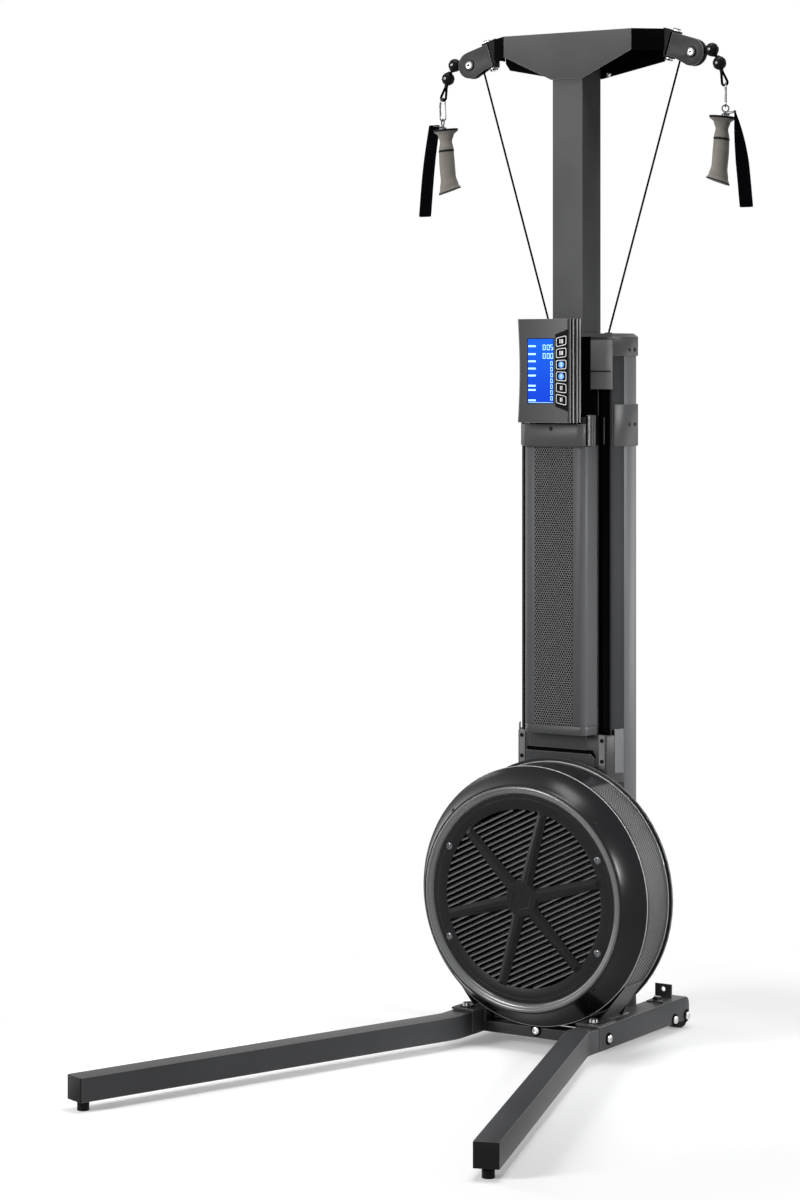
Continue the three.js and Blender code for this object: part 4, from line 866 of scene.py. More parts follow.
def slanted_tube(route, radius, around_steps=12):
    """A tube of slanting rings, so that it stays round along X and also when it is drawn out down Z."""
    points, along, around = [], [], []
    for point in route:
        for angle in evenly(0, 2 * pi, around_steps):
            out = radius * cos(angle)
            points.append(point + Vector((out, radius * sin(angle), out)))
            along.append((point - route[0]).length * mm)
            around.append(angle)
    faces = skin(range(0, len(points), around_steps + 1), around_steps, wrapped=False)
    return points, faces, {"along": along, "around": around}


# The cord touches its wheel on the inner side, goes over it and leaves it at the outer side
touch_angle = (
    atan2(eyelet_z - pulley_z, eyelet_x - pulley_x)
    - acos(wrap_radius / hypot(eyelet_x - pulley_x, eyelet_z - pulley_z))
    + 2 * pi
)
leave_angle = 0.0
wrap_points = [
    Vector((pulley_x + wrap_radius * cos(angle), pulley_y, pulley_z + wrap_radius * sin(angle)))
    for angle in evenly(touch_angle, leave_angle, 24)
]
leaving = (stop_upper - wrap_points[-1]).normalized()
tail_end = stop_upper - leaving * (stop_radius - 2)
tail_start = wrap_points[-1] - (tail_end - wrap_points[-1]).normalized() * 1.5
# The tail's slanting rings stand square to this direction; drawn_end is where its end would lie if it were
# drawn out along it
ring_normal = Vector((1, 0, -1)).normalized()
drawn_end = tail_start + ring_normal * (tail_end - tail_start).dot(ring_normal)
grommet = turned([
    (3.4, -1.0), (8.5, -1.0), (8.5, 0.6), (7.2, 2.2), (4.6, 2.2), (3.4, 1.0),
], 32, closed=True)
for side, sign in sides.items():
    start = Vector((drum_cord_x, pulley_y if sign > 0 else left_drum_y, fan_z))
    run = between_points(start, eyelet, 12)[:-1]
    run += between_points(eyelet, wrap_points[0], 40)[:-1] + wrap_points
    cord = piece(
        f"drive_cord_{side}_braid", moved(swept(run, cord_radius, 10), mirror(side)),
        "braid", None, (f"drive_cord_{side}",),
    )
    tuple(at(mirror(side) @ eyelet))
    tuple(at(mirror(side) @ wrap_points[0]))
    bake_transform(cord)
    tube = slanted_tube(between_points(tail_start, tail_end, 40), cord_radius)
    tail = piece(f"cord_tail_{side}", moved(tube, mirror(side)), "braid", None)
    tuple(at(mirror(side) @ tail_start))
    tuple(at(mirror(side) @ drawn_end))
    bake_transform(tail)
    grommet_here = shifted(grommet, sign * eyelet_x, pulley_y, eyelet_z)
    piece(f"cord_eyelet_{side}", grommet_here, "black_plastic_and_shade")


def stop_bead():
    """A drop-shaped stop: round at its foot, drawn out to a nose at its head, with a seam round it."""
    profile = [(0, 1.17), (0.20, 1.15), (0.34, 1.02)]
    for i, degrees in enumerate(evenly(50, -82, 21)):
        angle = radians(degrees)
        reach = 0.965 if i in (8, 9) else 1.0
        profile.append((reach * cos(angle), reach * sin(angle)))
    profile.append((0, -0.99))
    return turned([(stop_radius * radius, stop_radius * height) for radius, height in profile], 36)


down = (loop_foot - stop_lower).normalized()
balls = joined(
    fixed(stop_bead(), stop_upper, (stop_lower - stop_upper).normalized()),
    fixed(stop_bead(), stop_lower, -down),
)
eyelet_rim = turned([(1.2, 0), (2.2, 0), (2.5, 0.5), (2.2, 1.0), (1.2, 0.6)], 20, closed=True)
eyes = joined(*[
    fixed(eyelet_rim, centre + Vector((0, -stop_radius * 0.985, 0)), (0, -1, 0))
    for centre in (stop_upper, stop_lower)
])
ferrule = fixed(turned([
    (2.6, -3.5), (3.9, -3.5), (4.3, -2.9), (4.3, 2.9), (3.9, 3.5), (2.6, 3.5),
], 24, closed=True), stop_lower + down * (stop_radius + 2.5), down)
across = down.cross(Vector((0, 1, 0))).normalized()
bow_half, bow_cord = 6.4, 2.7
bow_centre = loop_foot - down * bow_half
bow_head = stop_lower + down * (stop_radius - 3)
bow = between_points(bow_head, bow_centre + across * bow_half, 8)[:-1]
for angle in evenly(0, pi, 16):
    bow.append(bow_centre + (across * cos(angle) + down * sin(angle)) * bow_half)
bow += between_points(bow_centre - across * bow_half, bow_head, 8)[1:]
loop = swept(bow, bow_cord, 12)
link = swept(between_points(stop_upper, stop_lower, 6), cord_radius, 10)
for side in sides:
    for name, part, look, stands_for in (
        ("stop_balls", balls, "rubber", (f"cord_end_{side}",)), ("stop_eyes", eyes, "bright_steel", ()),
        ("stop_ferrule", ferrule, "rubber", ()), ("stop_loop", loop, "braid", ()),
        ("stop_link", link, "braid", ()),
    ):
        piece(f"{name}_{side}", moved(part, mirror(side)), look, f"stops_{side}", stands_for)

# Snap hooks, swivel eyes, grips and wrist straps
hook_x, hook_top_z, hook_length, hook_half, wire = 350.0, 2028.7, 50.0, 7.0, 1.6
eye_centre_z, eye_ring, shank_z = 1975.3, 7.0, 1968.3
hook_turn = radians(57)
grip_x, grip_top_z, grip_length = 342.0, 1960.0, 138.0
grip_turn = {"left": radians(-32), "right": radians(32)}
grip_top_slope, grip_foot_slope, grip_lean = radians(5), radians(20), 9


def hung(side, x, z, turn=0.0):
    """From a hanging part's own frame to the drawing's, at its place and turn."""
    return mirror(side) @ Matrix.Translation((x, pulley_y, z)) @ Matrix.Rotation(turn, 4, "Z")


def wire_route(top_half, foot_half, length, steps=14):
    """A closed snap hook outline: a narrow bow above and a wide one below, from the top's middle down."""
    above = [
        Vector((top_half * cos(angle), 0, -top_half + top_half * sin(angle)))
        for angle in evenly(0, pi, steps)
    ]
    below = [
        Vector((foot_half * cos(angle), 0, -length + foot_half + foot_half * sin(angle)))
        for angle in evenly(pi, 2 * pi, steps)
    ]
    return above + below


snap_hook = joined(
    swept(wire_route(5.4, hook_half, hook_length), wire, 10, looped=True),
    fixed(turned([
        (0, -3.4), (2.3, -3.0), (2.6, 0), (2.3, 3.0), (0, 3.4),
    ], 16), (5.9, 0, -12), (0.05, 0, 1)),
    fixed(turned([
        (0, -12), (1.9, -12), (2.2, -11), (2.2, 10), (1.7, 12), (0, 12),
    ], 16), (6.5, 0, -27), (0.06, 0, 1)),
    fixed(turned([(0, -2.4), (1.5, -2.4), (1.5, 2.4), (0, 2.4)], 12), (7.0, 0, -39), (0, 1, 0)),
)
eye = swept([
    Vector((eye_ring * cos(angle), 0, eye_ring * sin(angle))) for angle in full_turn(28)
], wire, 10, looped=True)
shank = turned([
    (0, -8), (9, -8), (9, -6.2), (8.2, -4.4), (5.2, -3.6), (4.6, -2.8), (3.2, -2.2), (3.2, -0.6), (0, -0.4),
], 32)
for side in sides:
    piece(
        f"snap_hook_{side}_chrome", moved(snap_hook, hung(side, hook_x, hook_top_z, -hook_turn)),
        "chrome", f"hook_{side}", (f"snap_hook_{side}",),
    )
    swivel_eye = joined(
        moved(eye, hung(side, hook_x, eye_centre_z, pi / 2 - hook_turn)),
        moved(shank, hung(side, hook_x, shank_z)),
    )
    piece(f"swivel_eye_{side}", swivel_eye, "chrome", f"eye_{side}", (f"handle_eye_{side}",))

# Share of the grip's length, and its half width and half depth there
grip_stations = [
    (0.0, 27.0, 17.0), (0.03, 27.0, 17.0), (0.10, 17.6, 14.4), (0.20, 13.6, 12.8), (0.325, 16.4, 15.0),
    (0.375, 16.8, 15.4), (0.56, 17.4, 16.0), (0.78, 17.1, 16.0), (0.92, 20.6, 17.4), (1.0, 25.0, 20.0),
]


def grip_size(share):
    """Half widths of the grip at a share of its length, with soft changes between its stations."""
    for (low, long_a, short_a), (high, long_b, short_b) in zip(grip_stations, grip_stations[1:]):
        if share <= high:
            part_share = (share - low) / (high - low)
            soft = part_share * part_share * (3 - 2 * part_share)
            return long_a + (long_b - long_a) * soft, short_a + (short_b - short_a) * soft
    return grip_stations[-1][1:]


def grip_ring(share, grow):
    long_half, short_half = grip_size(share)
    lean = -grip_lean * share * share
    slope = grip_top_slope + (grip_foot_slope - grip_top_slope) * share * share
    ring = []
    for angle in full_turn(40):
        x, y = (long_half + grow) * cos(angle), (short_half + grow) * sin(angle)
        ring.append((x + lean, y, -grip_length * share - x * tan(slope)))
    return ring


def grip_run(first, last, steps, grow, edge=0.0):
    """Part of the grip between two shares; its ends draw in by edge."""
    shares = evenly(first, last, steps)
    if edge:
        shares[0] += 0.006
        shares[-1] -= 0.006
    rings = [grip_ring(share, grow) for share in shares]
    return lofted([grip_ring(first, grow - edge), *rings, grip_ring(last, grow - edge)])


strap_top_x, strap_top_z, strap_foot_z = 372.0, grip_top_z + 7.5, grip_top_z - 190
strap_width, strap_thickness, strap_steps, gather_steps = 28.6, 1.5, 24, 13
strap_sway, untwisted_from = 2.4, 0.55
stitch_rows = (5, 6)
stitch_half, stitch_length, stitch_radius = 7, 1.2, 0.28
strap_lean = {"left": 26.0, "right": 28.0}
strap_twist = {"left": 0.0, "right": radians(62)}
strap_head_width = {"left": 27.0, "right": 19.0}


def fold(end, start, opening, rise, steps):
    """The turn of the webbing from one layer to the other, without its start and its end."""
    middle, out = (end + start) / 2, (start - end) / 2 * opening
    return [
        middle + out * cos(angle) + Vector((0, 0, rise * sin(angle)))
        for angle in evenly(0, pi, steps)[1:-1]
    ]


def wrist_strap(side):
    """The webbing, folded double round its ring and at its foot, and a double row of stitches."""
    front, back, lays = [], [], []
    for share in evenly(0, 1, strap_steps):
        x = strap_top_x + strap_lean[side] * share + strap_sway * sin(share * pi * 1.2)
        turn = strap_twist[side] * (1 - min(1, share / untwisted_from)) ** 2
        lays.append(Vector((cos(turn), -sin(turn), 0)))
        apart = (0.9 + 1.6 * sin(pi * 0.5 * share)) * Vector((-lays[-1].y, lays[-1].x, 0))
        middle = Vector((x, pulley_y, strap_top_z + (strap_foot_z - strap_top_z) * share))
        front.append(middle - apart)
        back.append(middle + apart)
    head_fold = fold(front[0], back[0], 1.9, 2.2, 6)
    foot_fold = fold(back[-1], front[-1], 1.0, -2.4, 8)
    head_width = strap_head_width[side]
    widths = [
        head_width + (strap_width - head_width) * min(1, i / gather_steps) for i in range(strap_steps + 1)
    ]
    webbing = ribbon(
        head_fold + front + foot_fold + back[::-1],
        [head_width - 0.6] * len(head_fold) + widths + [strap_width] * len(foot_fold) + widths[::-1],
        strap_thickness,
        [lays[0]] * len(head_fold) + lays + [lays[-1]] * len(foot_fold) + lays[::-1],
    )
    lay = lays[stitch_rows[0]]
    stitches = []
    for row in stitch_rows:
        for along in evenly(-stitch_half, stitch_half, 8):
            point = front[row] + lay * along - Vector((-lay.y, lay.x, 0)) * 0.8
            stitches.append(swept([point, point + lay * stitch_length], stitch_radius, 6))
    return webbing, joined(*stitches)


grip_skin = joined(grip_run(0.036, 0.335, 18, -0.15), grip_run(0.362, 0.982, 30, -0.15))
grip_rims = joined(
    grip_run(0.0, 0.036, 2, 0.0, 1.0), grip_run(0.330, 0.366, 2, 0.7, 0.9),
    grip_run(0.980, 1.0, 2, 0.0, 0.8),
)
ring_centre = Vector((hook_x + 9.5, pulley_y, grip_top_z + 6.4))
tie_ring = swept([
    ring_centre + Vector((14 * cos(angle), 11 * sin(angle), 2.4 * cos(angle)))
    for angle in full_turn(36)
], 1.1, 10, looped=True)
for side in sides:
    held = hung(side, grip_x, grip_top_z, grip_turn[side])
    webbing, stitches = wrist_strap(side)
    for name, part, look, stands_for in (
        (f"grip_{side}_rubber", moved(grip_skin, held), "grip_rubber", (f"handle_grip_{side}",)),
        (f"grip_{side}_rims", moved(grip_rims, held), "rubber", ()),
        (f"strap_ring_{side}", moved(tie_ring, mirror(side)), "chrome", ()),
        (f"wrist_strap_{side}_webbing", moved(webbing, mirror(side)), "webbing", (f"wrist_strap_{side}",)),
        (f"strap_stitches_{side}", moved(stitches, mirror(side)), "rubber", ()),
    ):
        piece(name, part, look, f"handle_{side}", stands_for)

# Tower with its cap, collars and casing
tower = refined("tower_body", "tower_extrusion", 0.9)
lip_x, middle_half = 100, 78
# Painted shade: the front facets beyond the lips take a dark copy of the extrusion's finish, and the front
# face behind the casing is painted near black
face_up(tower, "tower_front", lambda middle, normal: abs(middle.x) > lip_x and normal.y < -0.3)
face_up(tower, "black_coat_and_shade", lambda middle, normal: abs(middle.x) < middle_half and normal.y < -0.95)
refined("tower_cap", "trim_plastic", 1.0)
refined("rear_collar", "trim_plastic", 0.9)
refined("tower_front_plate", "cheek_plastic", 0.9)
plate_y = -47.3
# Black liners on the front plate beside the console: painted shade; the thin black seams across the plate
# are real joints
plate_shade_liners = side_blocks(30, 61, plate_y - 0.6, plate_y + 0.4, 1379, 1498)
plate_seams = side_blocks(61, 111, plate_y - 0.5, plate_y + 0.4, 1423, 1425.4)
piece("plate_shade_liners", plate_shade_liners + plate_seams, "black_coat_and_shade")
refined("front_casing", "casing_extrusion", 0.7)
dress_up(frame["nodes"]["grille_strip"], "grille", None)
refined("casing_foot_cap", "trim_plastic", 1.2)
refined("casing_collar", "trim_plastic", 0.9)
refined("neck_box", "dark_coat", 1.4)
refined("recoil_bungee", "rubber", 0.4, 1)

tower_screws = [
    fixed(cross_screw(4.6, 1.6), (sign * (124.5 + reach), y, z), (sign, 0, 0))
    for sign in sides.values() for y in (4, 27) for z, reach in ((1470, 2.7), (1311, 2.9))
]
tower_screws.append(fixed(cross_screw(4.4, 2.0), (0, -111, 1302), (0, -1, 0)))
piece("tower_screws", tower_screws, "black_plastic_and_shade")

collar_foot, collar_top = 1266, 1331
collar_rib = turned([
    (0, collar_foot), (4.2, collar_foot), (4.2, collar_top - 2), (3.2, collar_top), (0, collar_top),
], 16)
collar_ribs = [shifted(collar_rib, sign * 76.4, y, 0) for sign in sides.values() for y in (-71, -61)]
# Light metal strips down the collar's sides: painted highlights
collar_highlight_strips = (
    side_blocks(74, 80, -88, -81, collar_foot, collar_top)
    + side_blocks(79, 81, -23.2, -22, collar_foot + 2, collar_top - 5)
)
# Near-black strips on the collar's sides: painted shade
collar_shade_strips = [
    painted_shade for first, last in ((-97, -91), (-56, -44.5))
    for painted_shade in side_blocks(77.1, 78.5, first, last, collar_foot + 0.5, collar_top - 1)
]
piece("collar_ribs", collar_ribs, "trim_plastic")
piece("collar_highlight_strips", collar_highlight_strips, "bright_trim_and_highlight", rounding=0.5)
piece("collar_shade_strips", collar_shade_strips, "black_coat_and_shade")

# Neck box: a stepped panel in front with a painted shadow along its step, a light tab and rail at each side
# and four black screws
neck_front_y, neck_root = -64.0, 0.5


def neck_plate(outline, height):
    """A flat shape that stands out from the neck box's front by its height."""
    return front_slab(outline, neck_front_y - height, neck_front_y + neck_root)


neck_panel = [
    neck_plate([(-88, 566), (80, 566), (80, 604), (72, 611), (-88, 611)], 2.2),
    neck_plate([(-80, 619), (62, 619), (62, 652), (-80, 652)], 1.2),
]
piece("neck_panel", neck_panel, "leg_coat", rounding=0.8)
# Painted shadow: a near-black band under the upper panel's step
neck_step_shadow = neck_plate([(-86, 610), (73, 610), (81, 603), (84, 606), (76, 619.5), (-86, 619.5)], 0.8)
piece("neck_step_shadow", neck_step_shadow, "black_coat_and_shade")
neck_tabs = side_blocks(91, 105, neck_front_y - 1.2, neck_front_y + neck_root, 566, 653)
piece("neck_tabs", neck_tabs, "tower_extrusion", rounding=0.5)
neck_screws = [
    fixed(cross_screw(4.4, 2.2), (sign * 98.5, neck_front_y - 1.0, z), (0, -1, 0))
    for sign in sides.values() for z in (597, 641)
]
piece("neck_screws", neck_screws, "black_coat_and_shade")
cheek_slant = Vector((19.1, 44.0, 0)).normalized()
cheek_out = Vector((cheek_slant.y, -cheek_slant.x, 0))
rail_plan = [
    Vector((108.4, neck_front_y, 0)) + cheek_slant * reach + cheek_out * out
    for reach, out in ((22, -0.5), (22, 1.0), (46, 1.0), (46, -0.5))
]
neck_rails = [slab([(sign * point.x, point.y) for point in rail_plan], 572, 665) for sign in sides.values()]
piece("neck_rails", neck_rails, "tower_extrusion", rounding=0.4)

# Console
face_y, console_back_y = -146.5, -97.0
console_half, console_foot, console_top = 65.3, 1315.5, 1535.0
console_bow, strip_width, strip_depth, strip_end = 4.2, 9.0, 8.5, 12.0
console_grooves = [(6.0, 16.0), (21.0, 32.0), (37.0, 44.0)]
groove_floor = console_half - 2.6


def console_plan(share):
    """Outline in X and Y at a share of the height: a bowed strip at the left, ribs down both sides."""
    left = -console_half + console_bow * sin(pi * share)
    strip = [
        (left + strip_width * i / 8, face_y + strip_depth * (1 - sin(pi / 2 * i / 8)))
        for i in range(9)
    ]
    ribs = [(console_half - 4.4, face_y), (console_half, face_y + 3.6), (console_half, face_y + 6.0)]
    for start, end in console_grooves:
        ribs += [
            (groove_floor, face_y + start + 0.8), (groove_floor, face_y + end - 0.8),
            (console_half, face_y + end), (console_half, face_y + end + 5.0),
        ]
    ribs.append((console_half, console_back_y))
    left_ribs = [(-x, y) for x, y in ribs[::-1] if y > face_y + strip_end]
    left_ribs.append((left, face_y + strip_end))
    return strip + ribs + left_ribs


def rounded_outline(half_x, half_z, radius, skew=0.0):
    outline = []
    for corner, (sx, sz) in enumerate(((1, 1), (-1, 1), (-1, -1), (1, -1))):
        for quarter in evenly(corner, corner + 1, 5):
            angle = pi / 2 * quarter
            x = sx * (half_x - radius) + radius * cos(angle)
            z = sz * (half_z - radius) + radius * sin(angle)
            outline.append((x, z + skew * x))
    return outline


keys = range(6)
key_x, key_middle_z, key_pitch = 46.6, 1426.0, 24.6
key_half_x, key_half_z, key_corner = 12.2, 9.6, 3.4
key_front_y, key_back_y, key_travel = face_y - 0.9, face_y + 2.5, 1.0
key_line_x, key_line_z = 1 / 13, 1 / 9
key_strokes = [(-1.8, 1.8), (-1.8, 1.8), (0,), (0,), (-3.2, 0, 3.2), (-3.2, 0, 3.2)]
lamp_keys = (2, 3)


def key_place(i):
    return Matrix.Translation((key_x, 0, key_middle_z + key_pitch * (i - 2.5)))


def key_outline(i, gap=0.0):
    """The plan of a key: the keys slant more towards the top and the foot of the row."""
    return rounded_outline(key_half_x + gap, key_half_z + gap, key_corner + gap, (i - 2.5) * 0.085)


key_pockets = joined(*[
    moved(front_slab(key_outline(i, 0.5), face_y - 3, key_back_y + key_travel + fit_gap), key_place(i))
    for i in keys
])
console_rings = [
    [Vector((x, y, z)) for x, y in console_plan(share)]
    for z, share in zip(evenly(console_foot, console_top, 24), evenly(0, 1, 24))
]
console_shell = piece(
    "console_shell", carved(lofted(console_rings), key_pockets),
    "console_plastic", "console", ("console_housing",), rounding=0.5,
)
# Painted shade: the floors of the side grooves are painted near black
face_up(console_shell, "black_coat_and_shade", lambda middle, normal: (
    -0.7 < abs(middle.x) - groove_floor < 0.8 and abs(normal.x) > 0.9
))
# Painted highlight: the faces of the ribs down the right side take the light copy of the console's plastic
face_up(console_shell, "console_rib_highlight", lambda middle, normal: middle.x > 65 and normal.x > 0.9)
pivot_y, pivot_z = -84.0, 1425.0
knuckle_bore, knuckle_radius, knuckle_half = 4.3, 8, 13
knuckle_tube = turned([
    (knuckle_bore, -knuckle_half), (knuckle_radius, -knuckle_half), (knuckle_radius, knuckle_half),
    (knuckle_bore, knuckle_half),
], 32, closed=True)
knuckle = joined(
    block(
        -knuckle_half, knuckle_half, console_back_y - 0.5, pivot_y,
        pivot_z - knuckle_radius, pivot_z + knuckle_radius,
    ),
    moved(knuckle_tube, Matrix.Translation((0, pivot_y, pivot_z)) @ Matrix.Rotation(pi / 2, 4, "Y")),
)
piece("console_knuckle", knuckle, "trim_plastic", "console", rounding=0.6)

screen_left, screen_right, screen_foot, screen_top = -35.1, 27.6, 1357.0, 1492.6
rim = 1.6
bezel_spans = [
    (screen_left - rim, screen_right + rim, screen_top, screen_top + rim),
    (screen_left - rim, screen_right + rim, screen_foot - rim, screen_foot),
    (screen_left - rim, screen_left, screen_foot, screen_top),
    (screen_right, screen_right + rim, screen_foot, screen_top),
]
bezel = [block(x0, x1, face_y - 0.5, face_y + 1, z0, z1) for x0, x1, z0, z1 in bezel_spans]
piece("console_bezel", bezel, "key_face", "console")
piece(
    "console_glass", block(screen_left, screen_right, face_y - 0.3, face_y + 1, screen_foot, screen_top),
    "display", "console", ("console_screen",),
)


def mark(x0, x1, z0, z1):
    return block(x0, x1, face_y - 0.4, face_y - 0.2, z0, z1)


def digit(lit, x, z, width, height, stroke):
    """A seven-bar number with its lower left corner at x, z."""
    half = height / 2
    bars = {
        "a": (stroke, width - stroke, height - stroke, height), "d": (stroke, width - stroke, 0, stroke),
        "g": (stroke, width - stroke, half - stroke / 2, half + stroke / 2),
        "f": (0, stroke, half, height), "e": (0, stroke, 0, half),
        "b": (width - stroke, width, half, height), "c": (width - stroke, width, 0, half),
    }
    return [mark(x + x0, x + x1, z + z0, z + z1) for x0, x1, z0, z1 in map(bars.get, lit)]


zero, five = "abcdef", "acdfg"
figure_x, figure_pitch, figure_gap = 1.5, 8.6, 1.2
# Width, height and stroke
large_figure, small_figure = (6.6, 11.5, 1.25), (5.4, 8.8, 1.1)
bar_rows = [1477.3, 1460.6, 1445.3, 1429.9, 1415.1, 1393.6, 1384.7, 1362.7]
marks = [mark(-34.0, -16.0, z - 1.8, z + 1.8) for z in bar_rows]
marks.append(mark(-34.0, 26.4, 1357.6, 1358.4))
for z, numbers in ((1469, (zero, zero, five)), (1451, (zero, zero, zero))):
    for i, lit in enumerate(numbers):
        x = figure_x + i * figure_pitch + (figure_gap if i else 0)
        marks += digit(lit, x, z, *large_figure)
for i in range(7):
    marks += digit(zero, 20.0, 1436.5 - i * 12.3, *small_figure)
piece("console_marks", marks, "display_marks", "console")

key_panel = front_slab([
    (31.2, 1350), (62.4, 1339), (62.4, 1513), (31.2, 1502),
], face_y - 0.25, face_y + 1)
piece("key_panel", carved(key_panel, key_pockets), "key_face", "console", rounding=0.2)


def key_rim(outline):
    """A raised line along the edge of a key's face."""
    inner = [(x * (1 - key_line_x), z * (1 - key_line_z)) for x, z in outline]
    count = len(outline)
    points = [
        Vector((x, y, z)) for y in (key_front_y - 0.25, key_front_y + 0.1)
        for ring in (outline, inner) for x, z in ring
    ]
    faces = []
    for i in range(count):
        j = (i + 1) % count
        faces += [
            [i, j, count + j, count + i], [2 * count + i, 2 * count + j, 3 * count + j, 3 * count + i],
            [i, j, 2 * count + j, 2 * count + i], [count + i, count + j, 3 * count + j, 3 * count + i],
        ]
    return points, faces


for i in keys:
    key, key_body = f"key_{i + 1}", key_outline(i)
    cap = moved(front_slab(key_body, key_front_y, key_back_y), key_place(i))
    piece(f"{key}_cap", cap, "key_face", key, (f"console_{key}",), rounding=0.3)
    strokes = [
        block(x - 0.8, x + 0.8, key_front_y - 0.2, key_front_y + 0.1, -4.2, 4.2) for x in key_strokes[i]
    ]
    piece(f"{key}_outline", moved(joined(key_rim(key_body), *strokes), key_place(i)), "key_outline", key)
    if i in lamp_keys:
        dot = front_slab(rounded_outline(6.4, 6.4, 6.0), key_front_y - 0.1, key_front_y + 0.1)
        piece(f"{key}_lamp", moved(dot, key_place(i)), "key_lit", key)

# Fan drum
panel_radius, panel_y = 218.0, -228.5
louvre_radius, louvre_pitch, louvre_slope = 188.0, 11.4, radians(26)
shortest_slat = 12
rim_radius, rim_y, bevel_radius = 273.0, -180.0, 240.0
band_front_y, band_back_y = -175.7, -92.3
round_steps = 160
drum = Matrix.Translation((0, 0, fan_z))


def on_panel(rows):
    """Rows of a lathe whose place on Y is counted from the panel's face."""
    return [(radius, panel_y + y) for radius, y in rows]


def arc(centre_radius, centre_y, radius, first, last, steps):
    """Rows of a lathe round an edge, between two angles in degrees."""
    return [
        (centre_radius + radius * cos(angle), centre_y + radius * sin(angle))
        for angle in map(radians, evenly(first, last, steps))
    ]


shroud = turned_forward([
    (panel_radius + 9.2, panel_y + 4), (237.2, -236.2), (239.2, -234.4), (bevel_radius + 1.2, -230.4),
    (rim_radius - 4.6, -187.6), *arc(rim_radius - 5.2, rim_y - 3.2, 5.2, -38, 0, 5),
    (rim_radius, rim_y + 4), (rim_radius - 3, rim_y + 4), (rim_radius - 3, rim_y - 2),
    (bevel_radius - 3, -227), (panel_radius + 9.2, panel_y + 6),
], round_steps)
bead = turned_forward([
    (panel_radius + 0.4, panel_y + 3), (panel_radius + 0.6, panel_y - 0.6), (225.0, -234.6),
    *arc(231.4, -231.8, 5.2, -150, 8, 12), (232.0, -226.0), (panel_radius + 0.4, panel_y + 5),
], round_steps)
# Thin light rings along the shroud's rim and the band's back edge: painted highlights on those rims
rim_highlight_rings = joined(*[
    turned_forward(arc(radius, y, 1.2, 0, 315, 7), round_steps, closed=True)
    for radius, y in ((rim_radius - 0.7, rim_y - 4.6), (band_radius + 1.0, band_back_y - 1.1))
])
piece("drum_shroud", moved(shroud, drum), "drum_plastic", "frame", ("fan_shroud",), corner_degrees=40)
piece("drum_bead", moved(bead, drum), "bead_plastic", corner_degrees=50)
piece("drum_rim_highlights", moved(rim_highlight_rings, drum), "rim_highlight_plastic", corner_degrees=60)

ring_plate = turned_forward(on_panel([
    (louvre_radius - 1, 4), (louvre_radius - 1, 0.8), (louvre_radius + 0.4, 0), (208.4, 0),
    (209.2, 0.8), (209.2, 1.2), (210.0, 1.2), (210.8, 0.4), (217.2, 0.4), (217.7, 1), (217.7, 4),
]), 128, closed=True)
slats = []
slat_section = [(-2.6, 1.2), (0.4, 1.0), (4.0, 6.6), (2.8, 7.4), (-0.6, 2.8), (-2.6, 2.6)]
slat_count = int(2 * louvre_radius / louvre_pitch)
for i in range(slat_count):
    offset = louvre_pitch * (i - (slat_count - 1) / 2)
    half = sqrt(max((louvre_radius + 1) ** 2 - (abs(offset) + 3) ** 2, 0))
    if half > shortest_slat:
        rings = [
            [Vector((x, panel_y + depth, offset + rise)) for rise, depth in slat_section]
            for x in (-half, half)
        ]
        slats.append(moved(lofted(rings), Matrix.Rotation(-louvre_slope, 4, "Y")))
piece(
    "louvre_ring", moved(ring_plate, drum), "panel_plastic", "frame", ("louvre_panel",), corner_degrees=40,
)
louvre_slats = piece("louvre_slats", moved(joined(*slats), drum), "slat_plastic")
# Painted highlight: the slats' front faces take the lighter copy of their plastic
face_up(louvre_slats, "slat_edge_highlight", lambda middle, normal: normal.y < -0.9)

# The plain bevelled spider on the panel: an arm's sections near the hub, near the ring and at the ring
arm = lofted([
    [Vector((x, panel_y + y, reach)) for x, y in section] for reach, section in (
        (30, [(-15, 3.0), (-15, 0.0), (-5.5, -6.4), (5.5, -6.4), (15, 0.0), (15, 3.0)]),
        (182, [(-11, 3.0), (-11, 0.0), (-2.2, -5.4), (2.2, -5.4), (11, 0.0), (11, 3.0)]),
        (191, [(-11, 3.0), (-11, 0.6), (-10, 0.2), (10, 0.2), (11, 0.6), (11, 3.0)]),
    )
])
arms = [moved(arm, Matrix.Rotation(2 * pi * (i + 0.25) / 6, 4, "Y")) for i in range(6)]
hub = moved(turned_forward(on_panel([
    (0, 3), (46, 3), (46, 0), (39.5, -6.6), (24, -6.6), (22.6, -5.4), (0, -5.4),
]), 6), Matrix.Rotation(radians(45), 4, "Y"))
piece("louvre_arms", moved(joined(*arms), drum), "panel_plastic", rounding=0.5)
piece("louvre_hub", moved(hub, drum), "panel_plastic", rounding=0.5)


def ring_of_screws(head, radius, y, degrees, outward=0.0, forward=-1):
    """Screws on a circle round the drum's middle, leaning outward."""
    screws = []
    for angle in map(radians, degrees):
        x, z = cos(angle), sin(angle)
        screws.append(fixed(head, (radius * x, y, fan_z + radius * z), (outward * x, forward, outward * z)))
    return screws


drum_screws = ring_of_screws(cross_screw(4.2, 1.5), 243.5, -227.2, (45, 135, 225, 315), 0.84, -0.54)
piece("drum_screws", drum_screws, "black_plastic_and_shade")
panel_screws = ring_of_screws(cross_screw(7.8, 2.4), 204, panel_y, (28, 152, 208, 332))
piece("panel_screws", panel_screws, "chrome")
band = turned_forward([
    (band_radius - 2, band_front_y), (band_radius, band_front_y), (band_radius, band_back_y),
    (band_radius - 2, band_back_y),
], round_steps, closed=True)
piece("perforated_band", moved(band, drum), "band_mesh", "frame", ("mesh_band",), corner_degrees=40)
drum_back = refined("fan_back_plate", "trim_plastic", 0.9)
